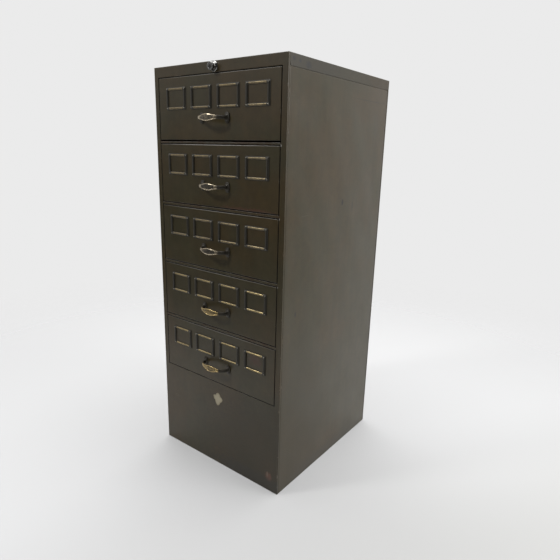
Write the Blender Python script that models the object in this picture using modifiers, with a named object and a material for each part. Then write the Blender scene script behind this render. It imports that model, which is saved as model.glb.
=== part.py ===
"""Five-drawer sheet steel parts cabinet with a blank plinth and a central push lock.

Metres, +Z up. The origin is the centre of the carcass's footprint on the floor, the drawers face -Y
and +X is the right-hand side for someone who stands in front of them. Every sheet is modelled as a
thin shell with its real folds, and every piece keeps a small gap to the pieces that it touches.
"""

import math

import bmesh
import bpy
from mathutils import Matrix, Vector

# Driving dimensions of the carcass.
WIDTH = 0.531
DEPTH = 0.587
HEIGHT = 1.320
SHEET = 0.0012
SEAM = 0.0004
CAP_SEAM = 0.0010
SKIRT = 0.0315
STILE = 0.019
FOLD_RADIUS = 0.0025
FRONT_WRAP = 0.007
BACK_WRAP = 0.008
PANEL_FLANGE = 0.012
FRAME_DEPTH = 0.018
BASE_MARGIN = 0.0135
BASE_HEIGHT = 0.030

# Drawers.
DRAWERS = 5
PITCH = 0.197
FACE_HEIGHT = 0.1848
FACE_GAP = 0.0016
DRAWER_SHEET = 0.0010
DRAWER_FOLD = 0.0018

# Label holders and handles, measured down from the top edge of a drawer front.
HOLDERS = 4
HOLDER_SPACING = 0.110
HOLDER_WIDTH = 0.089
HOLDER_HEIGHT = 0.066
HOLDER_RAIL = 0.009
HOLDER_SIDE_RAIL = 0.0105
HOLDER_DEPTH = 0.0036
HOLDER_DROP = 0.0625
HANDLE_DROP = 0.122
HANDLE_SPACING = 0.104
HANDLE_REACH = 0.034
NECK_HALF_HEIGHT = 0.0042
NECK_HALF_THICKNESS = 0.0026
GRIP_RISE = 0.0050
FOOT_RISE = 0.0115
FOOT_SPREAD = 0.0064
CARD_SLOT_DEPTH = 0.0012
CARD_SLOT_INSET = 0.0070
CARD_SLOT_LIFT = 0.0055
REST_GAP = 0.0003

# Trays and their slides.
TRAY_HALF_WIDTH = 0.228
TRAY_LENGTH = 0.520
TRAY_HEIGHT = 0.120
TRAY_LIFT = 0.012
PARTITION_HEIGHT = 0.104
PARTITION_SHEET = 0.0010
WELD_OVERLAP = 0.0005
LANES = 4
SLIDE_LIFT = 0.014
SLIDE_HEIGHT = 0.040
SLIDE_CLEARANCE = 0.001
RUNNER_HALF_WIDTH = 0.2630
RUNNER_FLANGE = 0.026
CRADLE_HALF_WIDTH = 0.2450
CRADLE_FLANGE = 0.0105
SLIDE_FLANGE_HALF_WIDTH = 0.2425
SLIDE_FLANGE_THICKNESS = 0.003
LUG_HALF_WIDTH = 0.2440
LUG_HEIGHT = 0.008

# Push lock in the header.
LOCK_RADIUS = 0.0148
LOCK_BARREL = 0.0130
LOCK_BORE = 0.0121
PLUNGER_RADIUS = 0.0118
PLUG_RADIUS = 0.0072
TAIL_RADIUS = 0.0022
TAIL_END = -0.0405
LOCK_REACH = 0.017
LOCK_TURNS = 24
COLLAR_LIP = 0.0030
COLLAR_DEPTH = -0.030
PLUNGER_DEPTH = -0.018
PLUG_SEAT = 0.004
KEY_SLOT_HALF_WIDTH = 0.0006
KEY_SLOT_HALF_HEIGHT = 0.0035
KEY_SLOT_DEPTH = 0.008

# Rock shaft and lock bar behind the header and the right-hand stile.
SHAFT_RADIUS = 0.003
SHAFT_CLEARANCE = 0.0004
SHAFT_START = -0.012
SHAFT_END = 0.2600
BRACKETS = (0.020, 0.235)
BRACKET_HALF_THICKNESS = 0.001
ARM_HALF_THICKNESS = 0.0013
PUSH_ARM_LENGTH = 0.0165
LIFT_ARM_LENGTH = 0.018
BAR_INNER_X = 0.2485
BAR_OUTER_X = 0.2615
BAR_THICKNESS = 0.003
FINGER_TIP_X = 0.2380
FINGER_HEIGHT = 0.008
FINGER_LIFT = 0.112
TAB_LOW = 0.0019
TAB_HIGH = 0.0037
TAB_REACH = 0.0100

# Derived places.
HALF_WIDTH = WIDTH / 2
FRONT_Y = -DEPTH / 2
BACK_Y = DEPTH / 2
FRAME_BACK_Y = FRONT_Y + FRAME_DEPTH
OPENING_HALF_WIDTH = HALF_WIDTH - STILE
OPENING_TOP = HEIGHT - SKIRT
FACE_HALF_WIDTH = OPENING_HALF_WIDTH - FACE_GAP
RAIL_HEIGHT = PITCH - FACE_HEIGHT - 2 * FACE_GAP
PANEL_TOP = OPENING_TOP - CAP_SEAM
LOCK_Z = HEIGHT - SKIRT / 2
TRAY_FRONT_Y = FRAME_BACK_Y + 0.0007
TRAY_BACK_Y = TRAY_FRONT_Y + TRAY_LENGTH
SHAFT_Y = FRONT_Y + 0.0445
SHAFT_Z = OPENING_TOP + 0.0065
BAR_FRONT_Y = FRAME_BACK_Y + 0.0035
BAR_BACK_Y = BAR_FRONT_Y + BAR_THICKNESS


def face_top(drawer):
    """Height of the top edge of a drawer front; drawer 0 is the highest."""
    return OPENING_TOP - FACE_GAP - drawer * PITCH


def face_bottom(drawer):
    """Height of the bottom edge of a drawer front."""
    return face_top(drawer) - FACE_HEIGHT


OPENING_BOTTOM = face_bottom(DRAWERS - 1) - FACE_GAP


def clear_scene():
    """Removes every object, so that the model starts from nothing."""
    for thing in list(bpy.data.objects):
        bpy.data.objects.remove(thing, do_unlink=True)


def new_collection(name):
    """A collection linked to the scene."""
    made = bpy.data.collections.new(name)
    bpy.context.scene.collection.children.link(made)
    return made


def paint(name, colour, roughness, metallic):
    """A Principled material."""
    made = bpy.data.materials.new(name)
    made.use_nodes = True
    shader = made.node_tree.nodes["Principled BSDF"]
    shader.inputs["Base Color"].default_value = (*colour, 1.0)
    shader.inputs["Roughness"].default_value = roughness
    shader.inputs["Metallic"].default_value = metallic
    return made


clear_scene()
CABINET = new_collection("parts_cabinet")
CUTTERS = new_collection("cutters")
ENAMEL = paint("olive_enamel", (0.072, 0.064, 0.046), 0.42, 0.0)
INNER_ENAMEL = paint("inner_enamel", (0.060, 0.056, 0.044), 0.55, 0.0)
BARE_STEEL = paint("zinc_steel", (0.42, 0.41, 0.39), 0.38, 1.0)
OLD_BRASS = paint("worn_brass", (0.36, 0.27, 0.13), 0.40, 1.0)
CHROME = paint("chrome", (0.78, 0.78, 0.78), 0.14, 1.0)


def add_mesh(name, grid, material, parent=None, place=(0, 0, 0), helper=False):
    """Makes an object from a bmesh and puts it in the cabinet, or among the cutters if it is a helper."""
    mesh = bpy.data.meshes.new(name)
    grid.to_mesh(mesh)
    grid.free()
    made = bpy.data.objects.new(name, mesh)
    made.location = place
    made.parent = parent
    if helper:
        CUTTERS.objects.link(made)
        made.hide_render = True
        made.display_type = "WIRE"
    else:
        CABINET.objects.link(made)
        mesh.materials.append(material)
    return made


def cube_between(low, high):
    """A bmesh cube whose corners are low and high."""
    grid = bmesh.new()
    bmesh.ops.create_cube(grid, size=1.0)
    low, high = Vector(low), Vector(high)
    bmesh.ops.scale(grid, vec=high - low, verts=grid.verts)
    bmesh.ops.translate(grid, vec=(low + high) / 2, verts=grid.verts)
    return grid


def faces_towards(grid, *directions):
    """The faces whose normals point in one of these directions."""
    wanted = [Vector(d) for d in directions]
    return [f for f in grid.faces if any(f.normal.dot(d) > 0.99 for d in wanted)]


def drop_faces(grid, faces):
    """Deletes faces together with the edges that only they use."""
    bmesh.ops.delete(grid, geom=faces, context="FACES")


def solidify(thing, thickness):
    """Gives a sheet its thickness behind the surface that is drawn."""
    modifier = thing.modifiers.new("sheet", "SOLIDIFY")
    modifier.thickness = thickness
    modifier.offset = -1.0
    modifier.use_even_offset = True
    return modifier


def round_edges(thing, width, segments=2, angle=40.0):
    """Rounds the sharp edges of a mesh."""
    modifier = thing.modifiers.new("fold", "BEVEL")
    modifier.width = width
    modifier.segments = segments
    modifier.limit_method = "ANGLE"
    modifier.angle_limit = math.radians(angle)
    return modifier


def boolean(thing, other, operation):
    """Cuts or joins another object with the exact solver."""
    modifier = thing.modifiers.new(operation.lower(), "BOOLEAN")
    modifier.operation = operation
    modifier.object = other
    modifier.solver = "EXACT"
    return modifier


def helper_box(name, low, high, parent=None):
    """A hidden box that other pieces are cut by or joined with."""
    return add_mesh(name, cube_between(low, high), None, parent, helper=True)


def helper_rod(name, radius, start, end, turns=LOCK_TURNS):
    """A hidden round rod between two points."""
    start, end = Vector(start), Vector(end)
    along = end - start
    grid = bmesh.new()
    bmesh.ops.create_cone(
        grid, cap_ends=True, segments=turns, radius1=radius, radius2=radius, depth=along.length
    )
    turn = along.to_track_quat("Z", "Y").to_matrix().to_4x4()
    bmesh.ops.transform(grid, matrix=Matrix.Translation((start + end) / 2) @ turn, verts=grid.verts)
    return add_mesh(name, grid, None, helper=True)


def pan(name, low, high, open_sides, thickness, material, fold=0.0, parent=None):
    """A box of folded sheet with some sides left open."""
    grid = cube_between(low, high)
    drop_faces(grid, faces_towards(grid, *open_sides))
    made = add_mesh(name, grid, material, parent)
    if fold:
        round_edges(made, fold)
    solidify(made, thickness)
    return made


def turned(name, profile, place, material, closed=False, turns=LOCK_TURNS):
    """Turns a profile of (radius, reach) points about a line along -Y; reach counts from place."""
    grid = bmesh.new()
    points = [grid.verts.new((radius, 0.0, reach)) for radius, reach in profile]
    for start, end in zip(points, points[1:]):
        grid.edges.new((start, end))
    if closed:
        grid.edges.new((points[-1], points[0]))
    made = add_mesh(name, grid, material, place=place)
    made.rotation_euler = (math.radians(90), 0, 0)
    spin = made.modifiers.new("turning", "SCREW")
    spin.steps = spin.render_steps = turns
    spin.use_merge_vertices = True
    spin.merge_threshold = 0.00001
    return made


def shade_round(thing, angle=35.0):
    """Smooth shading that keeps the sharp edges sharp."""
    thing.data.shade_smooth()
    thing.data.set_sharp_from_angle(angle=math.radians(angle))


def empty_at(name, place):
    """A parent for the pieces of one moving body, placed on its joint's line."""
    made = bpy.data.objects.new(name, None)
    made.location = place
    CABINET.objects.link(made)
    return made


# Carcass ------------------------------------------------------------------------------------------


def make_front_frame():
    """Header, stiles and blank plinth in one folded sheet, with the big opening for the drawers."""
    grid = cube_between((-HALF_WIDTH, FRONT_Y, 0), (HALF_WIDTH, FRONT_Y + FRONT_WRAP, HEIGHT))
    drop_faces(grid, faces_towards(grid, (0, 1, 0)))
    face = faces_towards(grid, (0, -1, 0))
    bmesh.ops.inset_individual(grid, faces=face, thickness=STILE)
    middle = face[0]
    for vert in middle.verts:
        vert.co.x = math.copysign(OPENING_HALF_WIDTH, vert.co.x)
        vert.co.z = OPENING_TOP if vert.co.z > HEIGHT / 2 else OPENING_BOTTOM
    rim = list(middle.edges)
    bmesh.ops.delete(grid, geom=[middle], context="FACES_ONLY")
    grown = bmesh.ops.extrude_edge_only(grid, edges=rim)["geom"]
    returns = [part for part in grown if isinstance(part, bmesh.types.BMVert)]
    bmesh.ops.translate(grid, vec=(0, FRAME_DEPTH, 0), verts=returns)
    bmesh.ops.recalc_face_normals(grid, faces=grid.faces)
    grid.normal_update()
    if not faces_towards(grid, (0, -1, 0)):
        bmesh.ops.reverse_faces(grid, faces=grid.faces)
    frame = add_mesh("front_frame", grid, ENAMEL)
    solidify(frame, SHEET)
    for number, side in enumerate(BRACKETS):
        bracket = helper_box(
            f"shaft_bracket_{number}",
            (side - BRACKET_HALF_THICKNESS, FRAME_BACK_Y - 0.0045, OPENING_TOP + REST_GAP),
            (side + BRACKET_HALF_THICKNESS, SHAFT_Y + 2 * SHAFT_RADIUS, SHAFT_Z + 0.0055),
        )
        boolean(frame, bracket, "UNION")
    shaft_hole = helper_rod(
        "shaft_hole",
        SHAFT_RADIUS + SHAFT_CLEARANCE,
        (BRACKETS[0] - 0.010, SHAFT_Y, SHAFT_Z),
        (BRACKETS[1] + 0.010, SHAFT_Y, SHAFT_Z),
        turns=12,
    )
    boolean(frame, shaft_hole, "DIFFERENCE")
    lock_hole = helper_rod(
        "lock_hole",
        LOCK_BARREL + SEAM,
        (0, FRONT_Y - 0.010, LOCK_Z),
        (0, FRONT_Y + 0.005, LOCK_Z),
    )
    boolean(frame, lock_hole, "DIFFERENCE")


def make_side_panel(name, side):
    """One side: a flat sheet with a flange folded in at the front, the back and the floor."""
    inner = side * (HALF_WIDTH - PANEL_FLANGE)
    outer = side * HALF_WIDTH
    pan(
        name,
        (min(inner, outer), FRONT_Y + FRONT_WRAP + SEAM, 0),
        (max(inner, outer), BACK_Y - BACK_WRAP - SEAM, PANEL_TOP),
        [(-side, 0, 0), (0, 0, 1)],
        SHEET,
        ENAMEL,
    )


def make_carcass():
    """The shell of the cabinet and the rails between its drawers."""
    make_front_frame()
    make_side_panel("left_side_panel", -1)
    make_side_panel("right_side_panel", 1)
    pan(
        "back_panel",
        (-HALF_WIDTH, BACK_Y - BACK_WRAP, 0),
        (HALF_WIDTH, BACK_Y, PANEL_TOP),
        [(0, -1, 0)],
        SHEET,
        ENAMEL,
    )
    pan(
        "top_cap",
        (-HALF_WIDTH, FRONT_Y + FRONT_WRAP + SEAM, OPENING_TOP),
        (HALF_WIDTH, BACK_Y, HEIGHT),
        [(0, -1, 0), (0, 0, -1)],
        SHEET,
        ENAMEL,
        fold=FOLD_RADIUS,
    )
    pan(
        "base_pan",
        (-HALF_WIDTH + BASE_MARGIN, FRONT_Y + BASE_MARGIN, 0),
        (HALF_WIDTH - BASE_MARGIN, BACK_Y - BASE_MARGIN, BASE_HEIGHT),
        [(0, 0, 1)],
        SHEET,
        INNER_ENAMEL,
    )
    for gap in range(DRAWERS - 1):
        top = face_bottom(gap) - FACE_GAP
        pan(
            f"cross_rail_{gap + 1}",
            (-OPENING_HALF_WIDTH + SEAM, FRONT_Y + SEAM, top - RAIL_HEIGHT),
            (OPENING_HALF_WIDTH - SEAM, FRAME_BACK_Y, top),
            [(0, 1, 0)],
            SHEET,
            ENAMEL,
        )


# Slides -------------------------------------------------------------------------------------------


def channel_cradle(name, half_width, front, back, low, high, flange, thickness, parent=None):
    """A U in plan made of inward-facing channel: two slide rails tied across the back."""
    grid = cube_between((-half_width, front, low), (half_width, back, high))
    drop_faces(grid, faces_towards(grid, (0, -1, 0)))
    for direction in ((0, 0, 1), (0, 0, -1)):
        face = faces_towards(grid, direction)
        bmesh.ops.inset_individual(grid, faces=face, thickness=flange)
        middle = face[0]
        for vert in middle.verts:
            vert.co.x = math.copysign(half_width - flange, vert.co.x)
            vert.co.y = front if vert.co.y < 0 else back - flange
        front_strip = [
            neighbour
            for edge in middle.edges
            for neighbour in edge.link_faces
            if neighbour is not middle and all(v.co.y < front + 1e-6 for v in neighbour.verts)
        ]
        drop_faces(grid, [middle, *front_strip])
    made = add_mesh(name, grid, BARE_STEEL, parent)
    solidify(made, thickness)
    return made


def make_slides(drawer, cradle_body):
    """The fixed runner frame of one drawer and the cradle that travels between it and the tray."""
    low = face_bottom(drawer) + SLIDE_LIFT
    high = low + SLIDE_HEIGHT
    channel_cradle(
        f"runner_frame_{drawer + 1}",
        RUNNER_HALF_WIDTH,
        FRONT_Y + 0.034,
        BACK_Y - 0.021,
        low,
        high,
        RUNNER_FLANGE,
        SHEET,
    )
    inset = SHEET + SLIDE_CLEARANCE
    channel_cradle(
        f"slide_cradle_{drawer + 1}",
        CRADLE_HALF_WIDTH,
        FRONT_Y + 0.036,
        BACK_Y - 0.031,
        low + inset - cradle_body.location.z,
        high - inset - cradle_body.location.z,
        CRADLE_FLANGE,
        SHEET,
        cradle_body,
    )


# Drawers ------------------------------------------------------------------------------------------


def make_tray(drawer, body):
    """Tray, inner front, partitions, slide flanges and lock lug, spot-welded into one piece."""
    number = drawer + 1
    low = TRAY_LIFT
    tray = pan(
        f"drawer_{number}_tray",
        (-TRAY_HALF_WIDTH, TRAY_FRONT_Y, low),
        (TRAY_HALF_WIDTH, TRAY_BACK_Y, low + TRAY_HEIGHT),
        [(0, 0, 1)],
        DRAWER_SHEET,
        INNER_ENAMEL,
        parent=body,
    )
    blocks = [
        helper_box(
            f"inner_front_{number}",
            (-SLIDE_FLANGE_HALF_WIDTH, TRAY_FRONT_Y - SEAM, FACE_GAP),
            (SLIDE_FLANGE_HALF_WIDTH, TRAY_FRONT_Y + 2 * SEAM, FACE_HEIGHT - FACE_GAP),
            body,
        )
    ]
    lane = 2 * TRAY_HALF_WIDTH / LANES
    for index in range(1, LANES):
        middle = -TRAY_HALF_WIDTH + index * lane
        blocks.append(
            helper_box(
                f"partition_{number}_{index}",
                (middle - PARTITION_SHEET / 2, TRAY_FRONT_Y + WELD_OVERLAP, low + WELD_OVERLAP),
                (middle + PARTITION_SHEET / 2, TRAY_BACK_Y - WELD_OVERLAP, low + PARTITION_HEIGHT),
                body,
            )
        )
    flange_z = SLIDE_LIFT + SLIDE_HEIGHT / 2
    for side in (-1, 1):
        edges = sorted((side * (TRAY_HALF_WIDTH - WELD_OVERLAP), side * SLIDE_FLANGE_HALF_WIDTH))
        blocks.append(
            helper_box(
                f"slide_flange_{number}_{side}",
                (edges[0], FRONT_Y + 0.040, flange_z - SLIDE_FLANGE_THICKNESS / 2),
                (edges[1], TRAY_BACK_Y - 0.004, flange_z + SLIDE_FLANGE_THICKNESS / 2),
                body,
            )
        )
    lug_low = FINGER_LIFT + FINGER_HEIGHT + 0.002
    blocks.append(
        helper_box(
            f"lock_lug_{number}",
            (TRAY_HALF_WIDTH - WELD_OVERLAP, BAR_BACK_Y + 0.001, lug_low),
            (LUG_HALF_WIDTH, BAR_BACK_Y + 0.005, lug_low + LUG_HEIGHT),
            body,
        )
    )
    for block in blocks:
        boolean(tray, block, "UNION")


def make_label_holder(drawer, index, body):
    """A stamped frame whose window shows a card; a card slides into the recess behind it."""
    across = (index - (HOLDERS - 1) / 2) * HOLDER_SPACING
    up = FACE_HEIGHT - HOLDER_DROP
    back = FRONT_Y - REST_GAP
    front = back - HOLDER_DEPTH
    half_width, half_height = HOLDER_WIDTH / 2, HOLDER_HEIGHT / 2
    grid = cube_between(
        (across - half_width, front, up - half_height), (across + half_width, back, up + half_height)
    )
    name = f"drawer_{drawer + 1}_label_holder_{index + 1}"
    holder = add_mesh(name, grid, OLD_BRASS, body)
    window = helper_box(
        f"{name}_window",
        (across - half_width + HOLDER_SIDE_RAIL, front - 0.002, up - half_height + HOLDER_RAIL),
        (across + half_width - HOLDER_SIDE_RAIL, back + 0.002, up + half_height - HOLDER_RAIL),
        body,
    )
    boolean(holder, window, "DIFFERENCE")
    slot = helper_box(
        f"{name}_slot",
        (across - half_width + CARD_SLOT_INSET, back - CARD_SLOT_DEPTH, up - half_height + CARD_SLOT_LIFT),
        (across + half_width - CARD_SLOT_INSET, back + 0.002, up + half_height + 0.002),
        body,
    )
    boolean(holder, slot, "DIFFERENCE")


def handle_section(along):
    """Centre, half height and half thickness of the bow handle; along runs from -1 to 1 between feet."""
    angle = math.pi / 2 * (1 + along)
    half_span = HANDLE_SPACING / 2
    centre = Vector((-half_span * math.cos(angle), -HANDLE_REACH * math.sin(angle) ** 0.8, 0))
    from_end = 1 - abs(along)
    grip = math.exp(-((along / 0.42) ** 4))
    flare = math.exp(-((from_end / 0.055) ** 2))
    half_height = NECK_HALF_HEIGHT + GRIP_RISE * grip + FOOT_RISE * flare
    half_thickness = NECK_HALF_THICKNESS + FOOT_SPREAD * flare
    return centre, half_height, half_thickness


def make_handle(drawer, body):
    """A cast bow handle: a flat grip that narrows to two necks and flares into two feet."""
    rings, sides = 22, 12
    grid = bmesh.new()
    loops = []
    for ring in range(rings + 1):
        along = -math.cos(math.pi * ring / rings)
        centre, half_height, half_thickness = handle_section(along)
        step = 1e-4
        before = handle_section(max(-1.0, along - step))[0]
        after = handle_section(min(1.0, along + step))[0]
        tangent = (after - before).normalized()
        if ring in (0, rings):
            tangent = Vector((0, 1 if ring else -1, 0))
        outwards = Vector((tangent.y, -tangent.x, 0))
        loop = []
        for side in range(sides):
            turn = 2 * math.pi * side / sides
            offset = outwards * (half_thickness * math.cos(turn))
            offset += Vector((0, 0, half_height * math.sin(turn)))
            loop.append(grid.verts.new(centre + offset))
        loops.append(loop)
    for first, second in zip(loops, loops[1:]):
        for side in range(sides):
            following = (side + 1) % sides
            grid.faces.new((first[side], first[following], second[following], second[side]))
    grid.faces.new(loops[0])
    grid.faces.new(reversed(loops[-1]))
    bmesh.ops.recalc_face_normals(grid, faces=grid.faces)
    lift = Vector((0, FRONT_Y - REST_GAP, FACE_HEIGHT - HANDLE_DROP))
    bmesh.ops.translate(grid, vec=lift, verts=grid.verts)
    handle = add_mesh(f"drawer_{drawer + 1}_handle", grid, OLD_BRASS, body)
    shade_round(handle)


def make_drawer(drawer):
    """Everything of one drawer, parented to empties that travel along Y."""
    number = drawer + 1
    body = empty_at(f"drawer_{number}_travel", (0, 0, face_bottom(drawer)))
    cradle_body = empty_at(f"cradle_{number}_travel", (0, 0, face_bottom(drawer)))
    pan(
        f"drawer_{number}_front",
        (-FACE_HALF_WIDTH, FRONT_Y, 0),
        (FACE_HALF_WIDTH, FRAME_BACK_Y, FACE_HEIGHT),
        [(0, 1, 0)],
        DRAWER_SHEET,
        ENAMEL,
        fold=DRAWER_FOLD,
        parent=body,
    )
    make_tray(drawer, body)
    for index in range(HOLDERS):
        make_label_holder(drawer, index, body)
    make_handle(drawer, body)
    make_slides(drawer, cradle_body)


# Lock ---------------------------------------------------------------------------------------------


def make_lock():
    """Push lock: collar, spring plunger, key plug, rock shaft and the bar that holds the drawers."""
    place = (0, FRONT_Y, LOCK_Z)
    tail_hole = TAIL_RADIUS + 0.0006
    collar = turned(
        "lock_collar",
        [
            (LOCK_BORE, COLLAR_LIP),
            (LOCK_RADIUS - 0.0010, COLLAR_LIP),
            (LOCK_RADIUS, COLLAR_LIP - 0.0010),
            (LOCK_RADIUS, REST_GAP),
            (LOCK_BARREL, REST_GAP),
            (LOCK_BARREL, COLLAR_DEPTH),
            (tail_hole, COLLAR_DEPTH),
            (tail_hole, COLLAR_DEPTH + 0.002),
            (LOCK_BORE, COLLAR_DEPTH + 0.002),
        ],
        place,
        CHROME,
        closed=True,
    )
    plug_bore = PLUG_RADIUS + REST_GAP
    plunger = turned(
        "lock_plunger",
        [
            (0, PLUG_SEAT),
            (plug_bore, PLUG_SEAT),
            (plug_bore, LOCK_REACH),
            (PLUNGER_RADIUS - 0.0012, LOCK_REACH),
            (PLUNGER_RADIUS, LOCK_REACH - 0.0012),
            (PLUNGER_RADIUS, PLUNGER_DEPTH),
            (TAIL_RADIUS, PLUNGER_DEPTH),
            (TAIL_RADIUS, TAIL_END),
            (0, TAIL_END),
        ],
        place,
        CHROME,
    )
    plug_face = LOCK_REACH - SEAM
    plug_back = PLUG_SEAT + SEAM
    plug = turned(
        "key_plug",
        [(0, plug_face), (PLUG_RADIUS, plug_face), (PLUG_RADIUS, plug_back), (0, plug_back)],
        place,
        CHROME,
        turns=16,
    )
    slot_front = FRONT_Y - LOCK_REACH
    slot = helper_box(
        "key_slot",
        (-KEY_SLOT_HALF_WIDTH, slot_front - 0.002, LOCK_Z - KEY_SLOT_HALF_HEIGHT),
        (KEY_SLOT_HALF_WIDTH, slot_front + KEY_SLOT_DEPTH, LOCK_Z + KEY_SLOT_HALF_HEIGHT),
    )
    boolean(plug, slot, "DIFFERENCE")
    for piece in (collar, plunger, plug):
        shade_round(piece)
    make_rock_shaft()
    make_lock_bar()


def make_rock_shaft():
    """Shaft behind the header: the plunger pushes its upright arm and its far arm lifts the lock bar."""
    place = Vector((0, SHAFT_Y, SHAFT_Z))
    grid = bmesh.new()
    bmesh.ops.create_cone(
        grid,
        cap_ends=True,
        segments=12,
        radius1=SHAFT_RADIUS,
        radius2=SHAFT_RADIUS,
        depth=SHAFT_END - SHAFT_START,
    )
    bmesh.ops.rotate(grid, matrix=Matrix.Rotation(math.pi / 2, 3, "Y"), verts=grid.verts)
    bmesh.ops.translate(grid, vec=((SHAFT_START + SHAFT_END) / 2, 0, 0), verts=grid.verts)
    shaft = add_mesh("rock_shaft", grid, BARE_STEEL, place=place)
    half = ARM_HALF_THICKNESS
    arms = [
        ((-0.004, -half, -WELD_OVERLAP), (0.004, half, PUSH_ARM_LENGTH)),
        ((SHAFT_END - 0.008, -LIFT_ARM_LENGTH, -half), (SHAFT_END - 0.002, WELD_OVERLAP, half)),
    ]
    for number, (low, high) in enumerate(arms):
        arm = helper_box(f"shaft_arm_{number}", place + Vector(low), place + Vector(high))
        boolean(shaft, arm, "UNION")
    shade_round(shaft)


def make_lock_bar():
    """Upright bar behind the right-hand stile with one finger under the lug of each drawer."""
    base = face_bottom(DRAWERS - 1) + FINGER_LIFT
    grid = cube_between(
        (BAR_INNER_X, BAR_FRONT_Y, base - 0.012), (BAR_OUTER_X, BAR_BACK_Y, SHAFT_Z + 0.0045)
    )
    bar = add_mesh("lock_bar", grid, BARE_STEEL)
    for drawer in range(DRAWERS):
        low = face_bottom(drawer) + FINGER_LIFT
        finger = helper_box(
            f"finger_{drawer + 1}",
            (FINGER_TIP_X, BAR_FRONT_Y + REST_GAP, low),
            (BAR_INNER_X + 0.0015, BAR_BACK_Y - REST_GAP, low + FINGER_HEIGHT),
        )
        boolean(bar, finger, "UNION")
    tab = helper_box(
        "lift_tab",
        (BAR_INNER_X + 0.0025, BAR_BACK_Y - 0.0010, SHAFT_Z + TAB_LOW),
        (BAR_OUTER_X - 0.0025, BAR_BACK_Y + TAB_REACH, SHAFT_Z + TAB_HIGH),
    )
    boolean(bar, tab, "UNION")


def main():
    """Builds the whole cabinet."""
    make_carcass()
    for drawer in range(DRAWERS):
        make_drawer(drawer)
    make_lock()


main()
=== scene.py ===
"""Looks of a five-drawer enamelled steel card cabinet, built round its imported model.

Metres, +Z up, drawers towards -Y. Sheet pieces are surfaces on grids: a flat face, a quarter-round fold
along each side and a flange behind it. Turned pieces are profiles carried round an axis, rails and handles
are sections carried along a path, and every surface has a procedural finish.
"""

import logging
import math
from collections.abc import Sequence
from dataclasses import dataclass, field
from enum import Enum

import bmesh
import bpy
import numpy as np
from mathutils import Matrix, Vector


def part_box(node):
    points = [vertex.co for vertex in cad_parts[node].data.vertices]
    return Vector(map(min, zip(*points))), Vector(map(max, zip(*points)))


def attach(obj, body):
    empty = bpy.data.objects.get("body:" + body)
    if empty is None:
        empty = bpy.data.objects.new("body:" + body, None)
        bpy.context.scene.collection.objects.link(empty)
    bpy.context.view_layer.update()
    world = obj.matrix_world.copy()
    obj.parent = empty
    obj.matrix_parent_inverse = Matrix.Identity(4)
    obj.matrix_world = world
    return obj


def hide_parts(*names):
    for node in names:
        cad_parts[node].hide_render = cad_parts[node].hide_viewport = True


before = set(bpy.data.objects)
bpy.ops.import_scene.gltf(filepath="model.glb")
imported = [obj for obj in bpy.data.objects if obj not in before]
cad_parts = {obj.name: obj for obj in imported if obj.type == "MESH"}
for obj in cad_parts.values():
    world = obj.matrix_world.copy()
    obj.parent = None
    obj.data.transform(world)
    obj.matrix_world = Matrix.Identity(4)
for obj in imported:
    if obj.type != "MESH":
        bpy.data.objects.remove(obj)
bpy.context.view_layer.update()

Array = np.ndarray
Colour = tuple[float, float, float]
Socket = bpy.types.NodeSocket
LOG = logging.getLogger("cabinet")

DRAWERS = 5
HOLDERS = 4
BRASS_DRAWERS = 2  # the lowest drawers, whose handles and label holders show more brass
WEAR_REACH = 0.0016  # how far wear fades from a fold into the flat beside it
NEAR_FOLD = (0.0, 0.0012, 0.003, 0.007)  # grid lines beside a fold
WELD = 0.000004  # points closer than this become one
PLAY = 0.0003  # between lock pieces that run in each other
ORIGIN = (0.0, 0.0, 0.0)
OLIVE: Colour = (0.0445, 0.0365, 0.0155)
OLIVE_WARM: Colour = (0.054, 0.0365, 0.0135)


# Surfaces -----------------------------------------------------------------------------------------


@dataclass(frozen=True)
class Place:
    """Where a flat face lies: its centre, its two directions and the direction behind it."""

    origin: tuple[float, float, float]
    across: tuple[float, float, float]
    up: tuple[float, float, float]
    inward: tuple[float, float, float]

    def at(self, flat: Array, depth: Array) -> Array:
        """Points in space: origin + across * u + up * v + inward * depth.

        Args:
            flat: (..., 2) places on the face.
            depth: (...) distances behind the face.

        Returns:
            (..., 3) points.
        """
        flat, depth = np.asarray(flat, float), np.asarray(depth, float)
        return (
            np.array(self.origin)
            + flat[..., :1] * np.array(self.across)
            + flat[..., 1:] * np.array(self.up)
            + depth[..., None] * np.array(self.inward)
        )


@dataclass(frozen=True)
class Patch:
    """One surface on a grid, with two numbers for each of its points.

    edge is how near it is to a worn fold. bare is the share of clean metal on plating, where on the handles
    it also carries painted shade; on enamel it is the share of painted shade that darkens folds and flanges.
    """

    points: Array
    edge: Array
    bare: Array
    wrap_rows: bool = False
    wrap_columns: bool = False

    def quads(self, first: int) -> Array:
        """Corner numbers of the grid's faces, counted from first.

        Args:
            first: number of the patch's first point.

        Returns:
            (n, 4) point numbers.
        """
        rows, columns = self.points.shape[:2]
        number = first + np.arange(rows * columns).reshape(rows, columns)
        if self.wrap_rows:
            number = np.vstack([number, number[:1]])
        if self.wrap_columns:
            number = np.hstack([number, number[:, :1]])
        corners = (number[:-1, :-1], number[:-1, 1:], number[1:, 1:], number[1:, :-1])
        return np.stack(corners, axis=-1).reshape(-1, 4)


def patch(points: Array, edge: Array | float = 0.0, bare: Array | float = 0.0, **wraps: bool) -> Patch:
    """A patch whose wear may be one number or one row of numbers.

    Args:
        points: (rows, columns, 3) points.
        edge: wear, spread over the grid as numpy spreads it.
        bare: share of clean plating or of grime, spread in the same way.
        **wraps: wrap_rows or wrap_columns.

    Returns:
        The patch.
    """
    shape = points.shape[:2]
    return Patch(points, np.broadcast_to(edge, shape), np.broadcast_to(bare, shape), **wraps)


def ease(value: Array, low: float, high: float) -> Array:
    """Smooth step: 3t^2 - 2t^3 with t running from 0 at low to 1 at high."""
    share = np.clip((np.asarray(value, float) - low) / (high - low), 0.0, 1.0)
    return share * share * (3 - 2 * share)


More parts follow.
